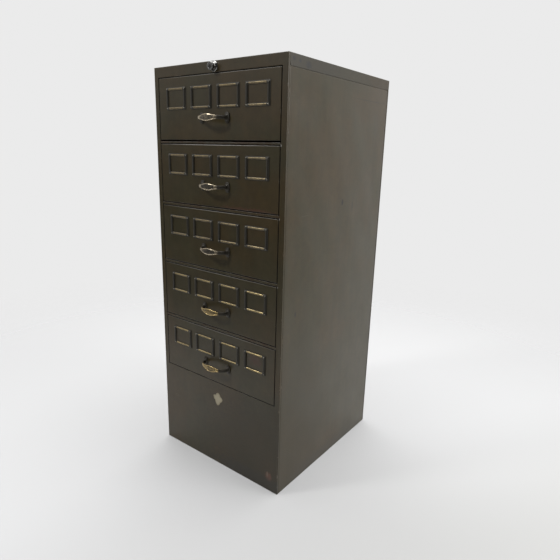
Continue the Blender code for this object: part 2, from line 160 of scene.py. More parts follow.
def lines_between(length: float, count: int) -> Array:
    """Grid lines from 0 to length: evenly spaced ones, and close ones beside both ends.

    Args:
        length: distance to cover.
        count: number of even steps in the middle.

    Returns:
        Rising distances.
    """
    near = np.array([distance for distance in NEAR_FOLD if distance < length / 4])
    middle = np.linspace(near[-1], length - near[-1], count + 1)[1:-1]
    return np.concatenate([near, middle, length - near[::-1]])


def grid_over(half: tuple[float, float], counts: tuple[int, int]) -> Array:
    """Places (rows, columns, 2) all over a rectangle round its middle, close together beside its edges."""
    u, v = (lines_between(2 * size, count) - size for size, count in zip(half, counts, strict=True))
    return np.stack(np.meshgrid(u, v), -1)


def hollow(flat: Array, inside: Array, depth: float, seed: float) -> Array:
    """How far rolled sheet sinks behind its plane: three crossing sine waves of 0.13 to 0.4 m.

    Args:
        flat: (..., 2) places on the face.
        inside: distances from the nearest fold; the face is true up to there.
        depth: greatest depth.
        seed: shifts the waves.

    Returns:
        Depths from 0 to depth.
    """
    u, v = flat[..., 0], flat[..., 1]
    waves = np.sin(17.0 * u + 9.0 * v + seed) + np.sin(31.0 * v - 11.0 * u + 2.3 * seed)
    waves = (waves + np.sin(47.0 * u + 23.0 * v + 4.1 * seed)) / 3.0
    return depth * (0.5 + 0.5 * waves) * ease(inside, 0.0, 0.06)


@dataclass(frozen=True)
class Border:
    """A closed loop round a rectangle: core points, and the outward direction at each of them."""

    core: Array
    normal: Array
    turn: Array

    @classmethod
    def of(cls, half: tuple[float, float], counts: tuple[int, int], corner_steps: int = 6) -> "Border":
        """The loop starts on the +u side and runs through +v, -u and -v.

        A side has the core points of its edge and one direction. A corner has one core point, and its
        direction turns through 90 degrees.

        Args:
            half: half the width and half the height of the core.
            counts: even steps along the width and along the height.
            corner_steps: steps round one corner.

        Returns:
            The border.
        """
        half_u, half_v = half
        along_u = lines_between(2 * half_u, counts[0]) - half_u
        along_v = lines_between(2 * half_v, counts[1]) - half_v
        sides = (
            np.stack([np.full_like(along_v, half_u), along_v], -1),
            np.stack([-along_u, np.full_like(along_u, half_v)], -1),
            np.stack([np.full_like(along_v, -half_u), -along_v], -1),
            np.stack([along_u, np.full_like(along_u, -half_v)], -1),
        )
        between = np.arange(1, corner_steps) / corner_steps
        core, turn = [], []
        for number, side in enumerate(sides):
            core += [side, np.repeat(side[-1:], corner_steps - 1, axis=0)]
            turn += [np.full(len(side), float(number)), number + between]
        turns = np.concatenate(turn)
        angle = turns * math.pi / 2
        return cls(np.concatenate(core), np.stack([np.cos(angle), np.sin(angle)], -1), turns)

    def out(self, distance: Array) -> Array:
        """Points at a distance outside the core: core + normal * distance, one row per distance."""
        distance = np.asarray(distance, float)
        if distance.ndim == 1:
            distance = distance[:, None]
        return self.core + self.normal * distance[..., None]

    def by_side(self, values: Sequence[float]) -> Array:
        """One number per point from one per side, blended round the corners."""
        return np.interp(self.turn, np.arange(5), [*values, values[0]])


def fold(radius: float, steps: int = 6) -> tuple[Array, Array]:
    """Quarter-round fold from flange to face.

    Distance outside the face's edge is radius * cos(a) and depth behind the face is
    radius * (1 - sin(a)), for an angle a from 0 to 90 degrees.

    Args:
        radius: radius of the fold.
        steps: steps along the arc.

    Returns:
        Distances and depths.
    """
    angle = np.linspace(0.0, math.pi / 2, steps + 1)
    return radius * np.cos(angle), radius * (1.0 - np.sin(angle))


def fade(distance: Array) -> Array:
    """Wear that falls off with distance from a fold, as exp(-distance / reach)."""
    return np.exp(-np.asarray(distance, float) / WEAR_REACH)


def shade_of(share: Array) -> Array:
    """Painted shade across a fold: full on the flange side and none on the face side."""
    return 1.0 - ease(share, 0.15, 0.75)


@dataclass(frozen=True)
class Pan:
    """A folded sheet: a flat face and a flange behind each of its four sides."""

    place: Place
    half: tuple[float, float]
    flanges: tuple[float, float, float, float]
    radius: float = 0.0015
    counts: tuple[int, int] = (8, 8)
    unevenness: float = 0.0
    seed: float = 0.0
    # Strength of the painted shade on the flanges and the back of each fold.
    gap_shade: float = 0.25

    def patches(self) -> list[Patch]:
        """The flanges with their folds as a ring, and the face as a grid.

        Returns:
            Two patches that meet along the face's edge.
        """
        half_u, half_v = self.half[0] - self.radius, self.half[1] - self.radius
        border = Border.of((half_u, half_v), self.counts)
        depth_to = border.by_side(self.flanges)[None]
        straight = np.array([1.0, 0.5, 0.0, 0.0])[:, None]
        beside = np.array([0.0, 0.0, NEAR_FOLD[2], NEAR_FOLD[1]])[:, None]
        flange = self.radius + np.where(
            straight > 0, (depth_to - self.radius) * straight, np.minimum(beside, depth_to - self.radius)
        )
        arc_out, arc_depth = fold(self.radius)
        columns = len(border.turn)
        depth = np.vstack([flange, np.repeat(arc_depth[:, None], columns, axis=1)])
        distance = np.concatenate([np.full(len(flange), self.radius), arc_out])
        ring_edge = np.vstack([fade(flange - self.radius), np.ones((len(arc_depth), columns))])
        across_fold = np.concatenate([np.zeros(len(flange)), np.linspace(0, 1, len(arc_out))])
        # Painted shade: full on the flanges, fading out across the fold towards the face.
        gap_shade = self.gap_shade * shade_of(across_fold)
        ring = patch(self.place.at(border.out(distance), depth), ring_edge, gap_shade[:, None], wrap_columns=True)
        flat = grid_over((half_u, half_v), self.counts)
        inside = np.minimum(half_u - np.abs(flat[..., 0]), half_v - np.abs(flat[..., 1]))
        sunk = hollow(flat, inside, self.unevenness, self.seed)
        return [ring, patch(self.place.at(flat, sunk), fade(inside))]


def rounded_block(low: Sequence[float], high: Sequence[float], radius: float, steps: int = 3) -> list[Patch]:
    """A closed box with rounded edges: a rounded loop carried from the lowest x to the highest.

    The loop lies in the Y-Z plane. Over each end it closes in along a quarter circle, and a flat cap
    fills its core.

    Args:
        low: lowest corner.
        high: highest corner.
        radius: radius of all edges.
        steps: steps round an edge.

    Returns:
        The wall and two caps.
    """
    low, high = np.asarray(low, float), np.asarray(high, float)
    middle, half = (low + high) / 2, (high - low) / 2
    radius = min(radius, *(half * 0.98))
    core = (half[1] - radius, half[2] - radius)
    border = Border.of(core, (1, 1), steps)
    place = Place((low[0], middle[1], middle[2]), (0, 1, 0), (0, 0, 1), (1, 0, 0))
    arc_out, arc_depth = fold(radius, steps)
    length = high[0] - low[0]
    distance = np.concatenate([arc_out[::-1], arc_out])
    depth = np.concatenate([arc_depth[::-1], length - arc_depth])
    wall = patch(place.at(border.out(distance), depth[:, None]), 0.8, wrap_columns=True)
    flat = grid_over(core, (1, 1))
    return [wall, *(patch(place.at(flat, end), 0.5) for end in (0.0, length))]


def turned(
    profile: Sequence[tuple[float, float]],
    centre: Sequence[float],
    axis: Sequence[float] = (0, -1, 0),
    turns: int = 48,
    edge: Array | float = 0.0,
    bare: float = 0.0,
) -> Patch:
    """A surface of revolution: each profile point (radius, reach) is carried round the axis.

    Args:
        profile: radii, and distances along the axis from the centre.
        centre: a point on the axis.
        axis: the axis, one of the three main directions.
        turns: steps round the axis.
        edge: wear of each profile point.
        bare: share of bare plating.

    Returns:
        The patch, closed round the axis.
    """
    radius, reach = np.asarray(profile, float).T
    axis = np.asarray(axis, float)
    first = np.roll(np.abs(axis), 1)
    second = np.cross(axis, first)
    angle = np.linspace(0.0, 2 * math.pi, turns, endpoint=False)
    spokes = np.cos(angle)[:, None] * first + np.sin(angle)[:, None] * second
    points = np.asarray(centre, float) + radius[:, None, None] * spokes + (reach[:, None] * axis)[:, None]
    worn = np.asarray(edge, float)
    return patch(points, worn[:, None] if worn.ndim else worn, bare, wrap_columns=True)


def dome(centre: Sequence[float], axis: Sequence[float], radius: float, height: float) -> Patch:
    """A rivet head: radius * cos(a) across and height * sin(a) along the axis, closed underneath."""
    angle = np.linspace(0.0, math.pi / 2, 6)
    profile = [(0.0, -0.0002), (radius, -0.0002)]
    profile += list(zip(radius * np.cos(angle), height * np.sin(angle), strict=True))
    return turned(profile, centre, axis, turns=18, edge=np.linspace(0.2, 1.0, len(profile)), bare=0.85)


def end_cap(ring: Array, centre: Array, edge: float = 0.0) -> Patch:
    """A fan that closes a ring of points towards its centre."""
    return patch(np.stack([ring, np.broadcast_to(centre, ring.shape)]), edge, wrap_columns=True)


def tube(path: Array, radius: float, sides: int = 10, closed: bool = False) -> list[Patch]:
    """A round bar whose circle is carried along a path in a level plane.

    Args:
        path: (n, 3) points at one height.
        radius: radius of the bar.
        sides: steps round the bar.
        closed: whether the path ends where it starts.

    Returns:
        The wall, and two caps on an open bar.
    """
    if closed:
        along = np.roll(path, -1, axis=0) - np.roll(path, 1, axis=0)
    else:
        along = np.gradient(path, axis=0)
    along = along / np.linalg.norm(along, axis=1)[:, None]
    aside = np.cross(along, [0.0, 0.0, 1.0])
    angle = np.linspace(0.0, 2 * math.pi, sides, endpoint=False)
    level = np.cos(angle)[None, :, None] * aside[:, None]
    upright = np.sin(angle)[None, :, None] * np.array([0.0, 0.0, 1.0])
    points = path[:, None] + radius * (level + upright)
    wall = patch(points, 0.7, wrap_columns=True, wrap_rows=closed)
    if closed:
        return [wall]
    return [wall, *(end_cap(points[end], path[end], 0.5) for end in (0, -1))]


# Pieces -------------------------------------------------------------------------------------------


def frame_front() -> float:
    """The plane of the front faces, as a Y value."""
    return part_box("front_frame")[0].y


def extent(node: str) -> tuple[Vector, Vector, Vector]:
    """A node's lowest corner, its highest corner and its middle."""
    low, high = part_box(node)
    return low, high, (low + high) / 2


def mesh_of(name: str, patches: Sequence[Patch]) -> bpy.types.Mesh:
    """A mesh of merged patches that faces outwards, with edge and bare as point attributes.

    Args:
        name: the mesh's name.
        patches: the surfaces.

    Returns:
        The mesh.
    """
    points = np.concatenate([p.points.reshape(-1, 3) for p in patches])
    firsts = np.cumsum([0] + [p.points.shape[0] * p.points.shape[1] for p in patches])
    quads = np.concatenate([p.quads(first) for p, first in zip(patches, firsts, strict=False)])
    mesh = bpy.data.meshes.new(name)
    mesh.vertices.add(len(points))
    mesh.vertices.foreach_set("co", points.astype(np.float32).ravel())
    mesh.loops.add(quads.size)
    mesh.loops.foreach_set("vertex_index", quads.astype(np.int32).ravel())
    mesh.polygons.add(len(quads))
    mesh.polygons.foreach_set("loop_start", np.arange(0, quads.size, 4, dtype=np.int32))
    mesh.update(calc_edges=True)
    for attribute in ("edge", "bare"):
        values = np.concatenate([getattr(p, attribute).ravel() for p in patches]).astype(np.float32)
        mesh.attributes.new(attribute, "FLOAT", "POINT").data.foreach_set("value", values)
    grid = bmesh.new()
    grid.from_mesh(mesh)
    bmesh.ops.remove_doubles(grid, verts=grid.verts, dist=WELD)
    bmesh.ops.dissolve_degenerate(grid, dist=WELD / 2, edges=grid.edges)
    bmesh.ops.recalc_face_normals(grid, faces=grid.faces)
    grid.to_mesh(mesh)
    grid.free()
    return mesh


def settle(piece: bpy.types.Object, sharp_degrees: float) -> None:
    """Applies a piece's modifiers, shades it smooth and keeps its sharp edges.

    Args:
        piece: the object.
        sharp_degrees: edges that turn more than this stay sharp.
    """
    if piece.modifiers:
        bpy.context.view_layer.update()
        graph = bpy.context.evaluated_depsgraph_get()
        final = bpy.data.meshes.new_from_object(piece.evaluated_get(graph))
        final.name = piece.name
        piece.modifiers.clear()
        piece.data = final
    piece.data.shade_smooth()
    piece.data.set_sharp_from_angle(angle=math.radians(sharp_degrees))


def make_piece(
    name: str,
    patches: Sequence[Patch],
    material: bpy.types.Material,
    body: str,
    stands_for: Sequence[str] = (),
    sheet: float = 0.0,
    sharp_degrees: float = 36.0,
    cutters: Sequence[Sequence[Patch]] = (),
) -> bpy.types.Object:
    """Makes a finished piece, lets it ride on its body and reports it.

    Args:
        name: the piece's name.
        patches: its surfaces.
        material: its finish.
        body: the body that it moves with.
        stands_for: nodes that it replaces.
        sheet: thickness behind the surface, or 0 for a closed shape.
        sharp_degrees: edges that turn more than this stay sharp.
        cutters: closed shapes that are cut out of it.

    Returns:
        The object.
    """
    piece = bpy.data.objects.new(name, mesh_of(name, patches))
    bpy.context.scene.collection.objects.link(piece)
    if sheet:
        wall = piece.modifiers.new("sheet", "SOLIDIFY")
        wall.thickness, wall.offset, wall.use_even_offset = sheet, -1.0, False
    tools = []
    for shape in cutters:
        tools.append(bpy.data.objects.new("cutter", mesh_of("cutter", shape)))
        bpy.context.scene.collection.objects.link(tools[-1])
        cut = piece.modifiers.new("cut", "BOOLEAN")
        cut.operation, cut.object, cut.solver = "DIFFERENCE", tools[-1], "EXACT"
    settle(piece, sharp_degrees)
    for tool in tools:
        bpy.data.objects.remove(tool)
    piece.data.materials.clear()
    piece.data.materials.append(material)
    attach(piece, body)
    if stands_for:
        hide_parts(*stands_for)
    LOG.info("%s: %d faces on %s", name, len(piece.data.polygons), body)
    return piece


# Finishes -----------------------------------------------------------------------------------------


class Grain(Enum):
    """Direction of the brush marks in a coat of paint, as a pattern's stretch along X, Y and Z."""

    UPRIGHT = (1.0, 1.0, 0.018)
    LENGTHWISE = (1.0, 0.018, 1.0)
    ACROSS = (0.018, 1.0, 1.0)


class Wiring:
    """Nodes being wired into one tree."""

    def __init__(self, tree: bpy.types.NodeTree) -> None:
        """Starts on a tree."""
        self.tree = tree

    def node(
        self, kind: str, inputs: dict[str | int, object] | None = None, **settings: object
    ) -> bpy.types.Node:
        """Adds a node.

        Args:
            kind: the node's type.
            inputs: values or sockets for its inputs.
            **settings: its own settings.

        Returns:
            The node.
        """
        made = self.tree.nodes.new(kind)
        for name, value in settings.items():
            setattr(made, name, value)
        for key, value in (inputs or {}).items():
            self.feed(made.inputs[key], value)
        return made

    def feed(self, socket: Socket, value: object) -> None:
        """Links a socket into another, or sets a plain value."""
        if isinstance(value, bpy.types.NodeSocket):
            self.tree.links.new(value, socket)
        elif isinstance(value, tuple) and len(value) == 3 and socket.type == "RGBA":
            socket.default_value = (*value, 1.0)
        else:
            socket.default_value = value

    def math(self, operation: str, *values: object, clamp: bool = False) -> Socket:
        """The result of a Math node."""
        inputs = dict(enumerate(values))
        return self.node("ShaderNodeMath", inputs, operation=operation, use_clamp=clamp).outputs[0]

    def add(self, first: object, second: object, clamp: bool = False) -> Socket:
        """The sum of two values."""
        return self.math("ADD", first, second, clamp=clamp)

    def minus(self, first: object, second: object) -> Socket:
        """The first value less the second."""
        return self.math("SUBTRACT", first, second)

    def times(self, first: object, second: object, clamp: bool = False) -> Socket:
        """The product of two values."""
        return self.math("MULTIPLY", first, second, clamp=clamp)

    def vector(self, operation: str, *vectors: object) -> Socket:
        """The result of a Vector Math node, which is a number for a length or a dot product."""
        made = self.node("ShaderNodeVectorMath", dict(enumerate(vectors)), operation=operation)
        return made.outputs["Value" if operation in ("LENGTH", "DOT_PRODUCT") else "Vector"]

    def scale(self, colour: Socket, factor: Socket) -> Socket:
        """A colour times a number."""
        inputs = {0: colour, "Scale": factor}
        return self.node("ShaderNodeVectorMath", inputs, operation="SCALE").outputs["Vector"]

    def step(self, value: object, low: object, high: object) -> Socket:
        """A smooth step from 0 at low to 1 at high."""
        inputs = {"Value": value, "From Min": low, "From Max": high}
        return self.node("ShaderNodeMapRange", inputs, interpolation_type="SMOOTHSTEP").outputs[0]

    def mix(self, factor: object, first: object, second: object) -> Socket:
        """A mix of two colours."""
        return self.node("ShaderNodeMix", {0: factor, 6: first, 7: second}, data_type="RGBA").outputs[2]

    def noise(self, position: Socket, scale: object, detail: float, roughness: float) -> Socket:
        """Smooth random values round 0.5."""
        inputs = {"Vector": position, "Scale": scale, "Detail": detail, "Roughness": roughness}
        return self.node("ShaderNodeTexNoise", inputs).outputs["Fac"]


def start_group(name: str, inputs: dict[str, object]) -> tuple[Wiring, dict[str, Socket]]:
    """An empty shader node group with named inputs.

    Args:
        name: the group's name.
        inputs: defaults by name: a number, a vector of three values or a colour of four.

    Returns:
        Its wiring, and its inputs as sockets.
    """
    tree = bpy.data.node_groups.new(name, "ShaderNodeTree")
    for key, default in inputs.items():
        kind = "Float" if isinstance(default, float) else {3: "Vector", 4: "Color"}[len(default)]
        socket = tree.interface.new_socket(name=key, in_out="INPUT", socket_type=f"NodeSocket{kind}")
        socket.default_value = default
    wiring = Wiring(tree)
    source = wiring.node("NodeGroupInput")
    return wiring, {key: source.outputs[key] for key in inputs}


def end_group(wiring: Wiring, **results: Socket) -> bpy.types.NodeTree:
    """Gives a node group its outputs: Colour is a colour, and all others are numbers.

    Args:
        wiring: the group's wiring.
        **results: its results by name.

    Returns:
        The group.
    """
    for name in results:
        kind = "Color" if name == "Colour" else "Float"
        wiring.tree.interface.new_socket(name=name, in_out="OUTPUT", socket_type=f"NodeSocket{kind}")
    wiring.node("NodeGroupOutput", results)
    return wiring.tree


class Effects:
    """Effects that several finishes share, each a node group built once."""

    def __init__(self) -> None:
        """Builds the groups."""
        self.paint = self._paint()
        self.worn_edge = self._worn_edge()
        self.scratches = self._scratches()
        self.stain_and_painted_light = self._stain_and_painted_light()
        self.film = self._film()

    @staticmethod
    def _paint() -> bpy.types.NodeTree:
        """Brush marks and patchiness in a coat of paint: Colour, Roughness and Height."""
        inputs = {
            "Position": ORIGIN,
            "Grain Position": ORIGIN,
            "Paint": (*OLIVE, 1.0),
            "Warm Paint": (*OLIVE_WARM, 1.0),
            "Streaks": 0.2,
            "Roughness": 0.42,
        }
        wiring, given = start_group("brushed_paint", inputs)
        position, grained = given["Position"], given["Grain Position"]
        patchy = wiring.step(wiring.noise(position, 5.5, 5.0, 0.6), 0.38, 0.66)
        colour = wiring.mix(patchy, given["Paint"], given["Warm Paint"])
        broad = wiring.noise(grained, 26.0, 3.0, 0.6)
        fine = wiring.noise(grained, 260.0, 1.0, 0.5)
        marks = wiring.minus(wiring.add(wiring.times(broad, 0.72), wiring.times(fine, 0.28)), 0.5)
        colour = wiring.scale(colour, wiring.math("MULTIPLY_ADD", marks, given["Streaks"], 1.0))
        blotch = wiring.minus(wiring.noise(position, 38.0, 6.0, 0.65), 0.5)
        colour = wiring.scale(colour, wiring.math("MULTIPLY_ADD", blotch, 0.6, 1.0))
        smear = wiring.minus(wiring.noise(position, 14.0, 3.0, 0.5), 0.5)
        rough = wiring.add(wiring.times(smear, 0.16), given["Roughness"], clamp=True)
        peel = wiring.noise(position, 420.0, 2.0, 0.5)
        height = wiring.add(wiring.times(peel, 0.6), wiring.times(fine, 0.22))
        return end_group(wiring, Colour=colour, Roughness=rough, Height=height)

    @staticmethod
    def _worn_edge() -> bpy.types.NodeTree:
        """Chips along folds: the edge attribute plus grain, cut at a threshold, as a Mask."""
        inputs = {"Position": ORIGIN, "Edge": 0.0, "Amount": 0.4, "Grain": 160.0}
        wiring, given = start_group("worn_edge", inputs)
        coarse = wiring.noise(given["Position"], 22.0, 3.0, 0.6)
        grain = wiring.noise(given["Position"], given["Grain"], 5.0, 0.65)
        level = wiring.add(wiring.times(coarse, 0.55), wiring.times(grain, 0.45))
        need = wiring.minus(1.02, wiring.times(given["Edge"], given["Amount"]))
        return end_group(wiring, Mask=wiring.step(level, need, wiring.add(need, 0.05)))

    @staticmethod
    def _scratches() -> bpy.types.NodeTree:
        """Fine level scratches in patches: stretched noise, cut high, as a Mask."""
        wiring, given = start_group("fine_scratches", {"Position": ORIGIN, "Amount": 0.3})
        turn = {"Vector": given["Position"], "Rotation": (0.0, 0.09, 0.05)}
        slanted = wiring.node("ShaderNodeMapping", turn).outputs[0]
        lines = wiring.noise(wiring.vector("MULTIPLY", slanted, (14.0, 14.0, 900.0)), 1.0, 1.0, 0.5)
        where = wiring.step(wiring.noise(given["Position"], 7.0, 2.0, 0.5), 0.5, 0.72)
        cut = wiring.times(wiring.step(lines, 0.66, 0.72), where)
        return end_group(wiring, Mask=wiring.times(cut, given["Amount"], clamp=True))

    @staticmethod
    def _stain_and_painted_light() -> bpy.types.NodeTree:
        """A ragged blot round one point, as a Mask: distance over size, roughened by noise. It places real
        stains, and also painted highlights and painted shadows.
        """
        inputs = {"Position": ORIGIN, "Centre": ORIGIN, "Size": (0.02, 0.02, 0.02), "Ragged": 0.6}
        wiring, given = start_group("placed_stain_and_painted_light", inputs)
        offset = wiring.vector("SUBTRACT", given["Position"], given["Centre"])
        length = wiring.vector("LENGTH", wiring.vector("DIVIDE", offset, given["Size"]))
        rough = wiring.minus(wiring.noise(given["Position"], 130.0, 6.0, 0.7), 0.5)
        length = wiring.add(length, wiring.times(rough, wiring.times(given["Ragged"], 4.0)))
        return end_group(wiring, Mask=wiring.minus(1.0, wiring.step(length, 0.45, 1.15)))

    @staticmethod
    def _film() -> bpy.types.NodeTree:
        """Uneven film of dirt or tarnish: noise cut softly as a Mask, and the noise as its Height."""
        wiring, given = start_group("tarnish_film", {"Position": ORIGIN, "Scale": 60.0, "Cover": 0.5})
        cloud = wiring.noise(given["Position"], given["Scale"], 7.0, 0.68)
        low = wiring.minus(0.78, wiring.times(given["Cover"], 0.56))
        return end_group(wiring, Mask=wiring.step(cloud, low, wiring.add(low, 0.16)), Height=cloud)


class Coat(Wiring):
    """The wiring of one material, from the place on its object to its shader."""

    def __init__(self, name: str) -> None:
        """Makes the material.

        Args:
            name: the material's name.
        """
        self.material = bpy.data.materials.new(name)
        self.material.use_nodes = True
        super().__init__(self.material.node_tree)
        self.shader = self.tree.nodes["Principled BSDF"]
        self.position = self.node("ShaderNodeTexCoord").outputs["Object"]

    def attribute(self, name: str) -> Socket:
        """A point attribute of the piece."""
        return self.node("ShaderNodeAttribute", attribute_name=name).outputs["Fac"]

    def effect(self, tree: bpy.types.NodeTree, inputs: dict[str, object]) -> dict[str, Socket]:
        """The results of a shared effect at each place on the object."""
        made = self.node("ShaderNodeGroup", {"Position": self.position, **inputs}, node_tree=tree)
        return {socket.name: socket for socket in made.outputs}

    def relief(self, height: Socket, strength: float, distance: float) -> None:
        """Bumps the surface by a height."""
        inputs = {"Strength": strength, "Distance": distance, "Height": height}
        self.shade({"Normal": self.node("ShaderNodeBump", inputs).outputs[0]})

    def shade(self, inputs: dict[str, object]) -> None:
        """Feeds the shader's inputs."""
        for key, value in inputs.items():
            self.feed(self.shader.inputs[key], value)


@dataclass(frozen=True)
class Blot:
    """A blot of colour with a place on one finish. Blots paint real stains and marks, and also painted
    highlights and painted shadows.
    """

    centre: tuple[float, float, float]
    size: tuple[float, float, float]
    colour: Colour
    strength: float
    ragged: float = 0.5


@dataclass(frozen=True)
class Enamel:
    """Old brushed enamel on steel: patchy paint, brush marks, chipped folds, rust and scratches; placed
    blots, which paint real stains and also painted highlights and painted shadows; and near-black painted
    shade deep in folds and flanges.
    """

    name: str
    paint: Colour = OLIVE
    warm_paint: Colour = OLIVE_WARM
    grain: Grain = Grain.UPRIGHT
    streaks: float = 0.42
    roughness: float = 0.33
    chips: float = 0.46
    scratches: float = 0.35
    rubbed: Colour = (0.135, 0.118, 0.085)
    rust: Colour = (0.070, 0.034, 0.018)
    # Colour of the painted shade that darkens flanges and folds where the gaps between parts are in shade.
    gap_shade: Colour = (0.008, 0.007, 0.005)
    blots: tuple[Blot, ...] = ()

    def build(self, effects: Effects) -> bpy.types.Material:
        """Wires the finish.

        Args:
            effects: the shared node groups.

        Returns:
            The material.
        """
        coat = Coat(self.name)
        edge, shade = coat.attribute("edge"), coat.attribute("bare")
        inputs = {
            "Grain Position": coat.vector("MULTIPLY", coat.position, self.grain.value),
            "Paint": self.paint,
            "Warm Paint": self.warm_paint,
            "Streaks": self.streaks,
            "Roughness": self.roughness,
        }
        paint = coat.effect(effects.paint, inputs)
        colour = paint["Colour"]
        # Placed blots: real stains and marks, and also painted highlights and painted shadows.
        for blot in self.blots:
            inputs = {"Centre": blot.centre, "Size": blot.size, "Ragged": blot.ragged}
            mask = coat.effect(effects.stain_and_painted_light, inputs)["Mask"]
            colour = coat.mix(coat.times(mask, blot.strength), colour, blot.colour)
        lines = coat.effect(effects.scratches, {"Amount": self.scratches})["Mask"]
        colour = coat.mix(lines, colour, self.rubbed)
        rubbed, bare = (
            coat.effect(effects.worn_edge, {"Edge": edge, "Amount": amount, "Grain": grain})["Mask"]
            for amount, grain in ((self.chips, 90.0), (self.chips * 0.86, 240.0))
        )
        colour = coat.mix(coat.times(rubbed, 0.75), colour, self.rubbed)
        colour = coat.mix(bare, colour, self.rust)
        # Painted shade: the bare attribute darkens flanges and the far side of folds, as if the gaps were in
        # shade.
        colour = coat.mix(coat.times(shade, 0.9), colour, self.gap_shade)
        rough = coat.add(paint["Roughness"], coat.times(bare, 0.3), clamp=True)
        rough = coat.add(rough, coat.times(shade, 0.5), clamp=True)
        coat.shade({"Base Color": colour, "Roughness": rough})
        coat.relief(coat.minus(paint["Height"], coat.times(rubbed, 0.5)), 0.35, 0.0002)
        return coat.material


@dataclass(frozen=True)
class Plating:
    """Plated metal under a dark film that has worn through where hands and cards rub; on the handles the bare
    attribute also carries painted shade.
    """

    name: str
    metal: Colour
    film: Colour
    cover: float = 0.6
    roughness: float = 0.30
    film_roughness: float = 0.5
    scale: float = 90.0
    mottle: float = 1.6

    def build(self, effects: Effects) -> bpy.types.Material:
        """Wires the finish.

        Args:
            effects: the shared node groups.

        Returns:
            The material.
        """
        coat = Coat(self.name)
        # Less bare share means more dark film; on the handles' right halves this is painted shade.
        worn = coat.minus(1.0, coat.attribute("bare"))
        film = coat.effect(effects.film, {"Scale": self.scale, "Cover": self.cover})
        cloud = coat.minus(film["Height"], 0.5)
        dark = coat.step(coat.add(worn, coat.times(cloud, self.mottle)), 0.25, 0.75)
        dark = coat.math("MAXIMUM", dark, coat.times(film["Mask"], 0.35))
        rough = coat.math("MULTIPLY_ADD", dark, self.film_roughness - self.roughness, self.roughness)
        coat.shade({
            "Base Color": coat.mix(dark, self.metal, self.film),
            "Metallic": coat.minus(1.0, coat.times(dark, 0.75)),
            "Roughness": coat.add(rough, coat.times(cloud, 0.3), clamp=True),
        })
        fine = coat.noise(coat.position, 900.0, 3.0, 0.6)
        coat.relief(coat.add(coat.times(fine, 0.4), coat.times(dark, 0.4)), 0.3, 0.00012)
        return coat.material


@dataclass(frozen=True)
class Paper:
    """Aged paper: fibres, foxing and grubby edges."""

    name: str
    colour: Colour
    aged: Colour
    foxed: Colour = (0.16, 0.12, 0.07)

    def build(self, effects: Effects) -> bpy.types.Material:
        """Wires the finish.

        Args:
            effects: the shared node groups.

        Returns:
            The material.
        """
        coat = Coat(self.name)
        cloud, spots = (
            coat.effect(effects.film, {"Scale": scale, "Cover": cover})["Mask"]
            for scale, cover in ((140.0, 0.35), (520.0, 0.12))
        )
        colour = coat.mix(cloud, self.colour, self.aged)
        colour = coat.mix(coat.times(spots, 0.6), colour, self.foxed)
        colour = coat.mix(coat.times(coat.attribute("edge"), 0.55), colour, self.aged)
        coat.shade({"Base Color": colour, "Roughness": 0.85})
        fibres = coat.vector("MULTIPLY", coat.position, (1.0, 1.0, 0.35))
        coat.relief(coat.noise(fibres, 2400.0, 2.0, 0.5), 0.4, 0.0001)
        return coat.material


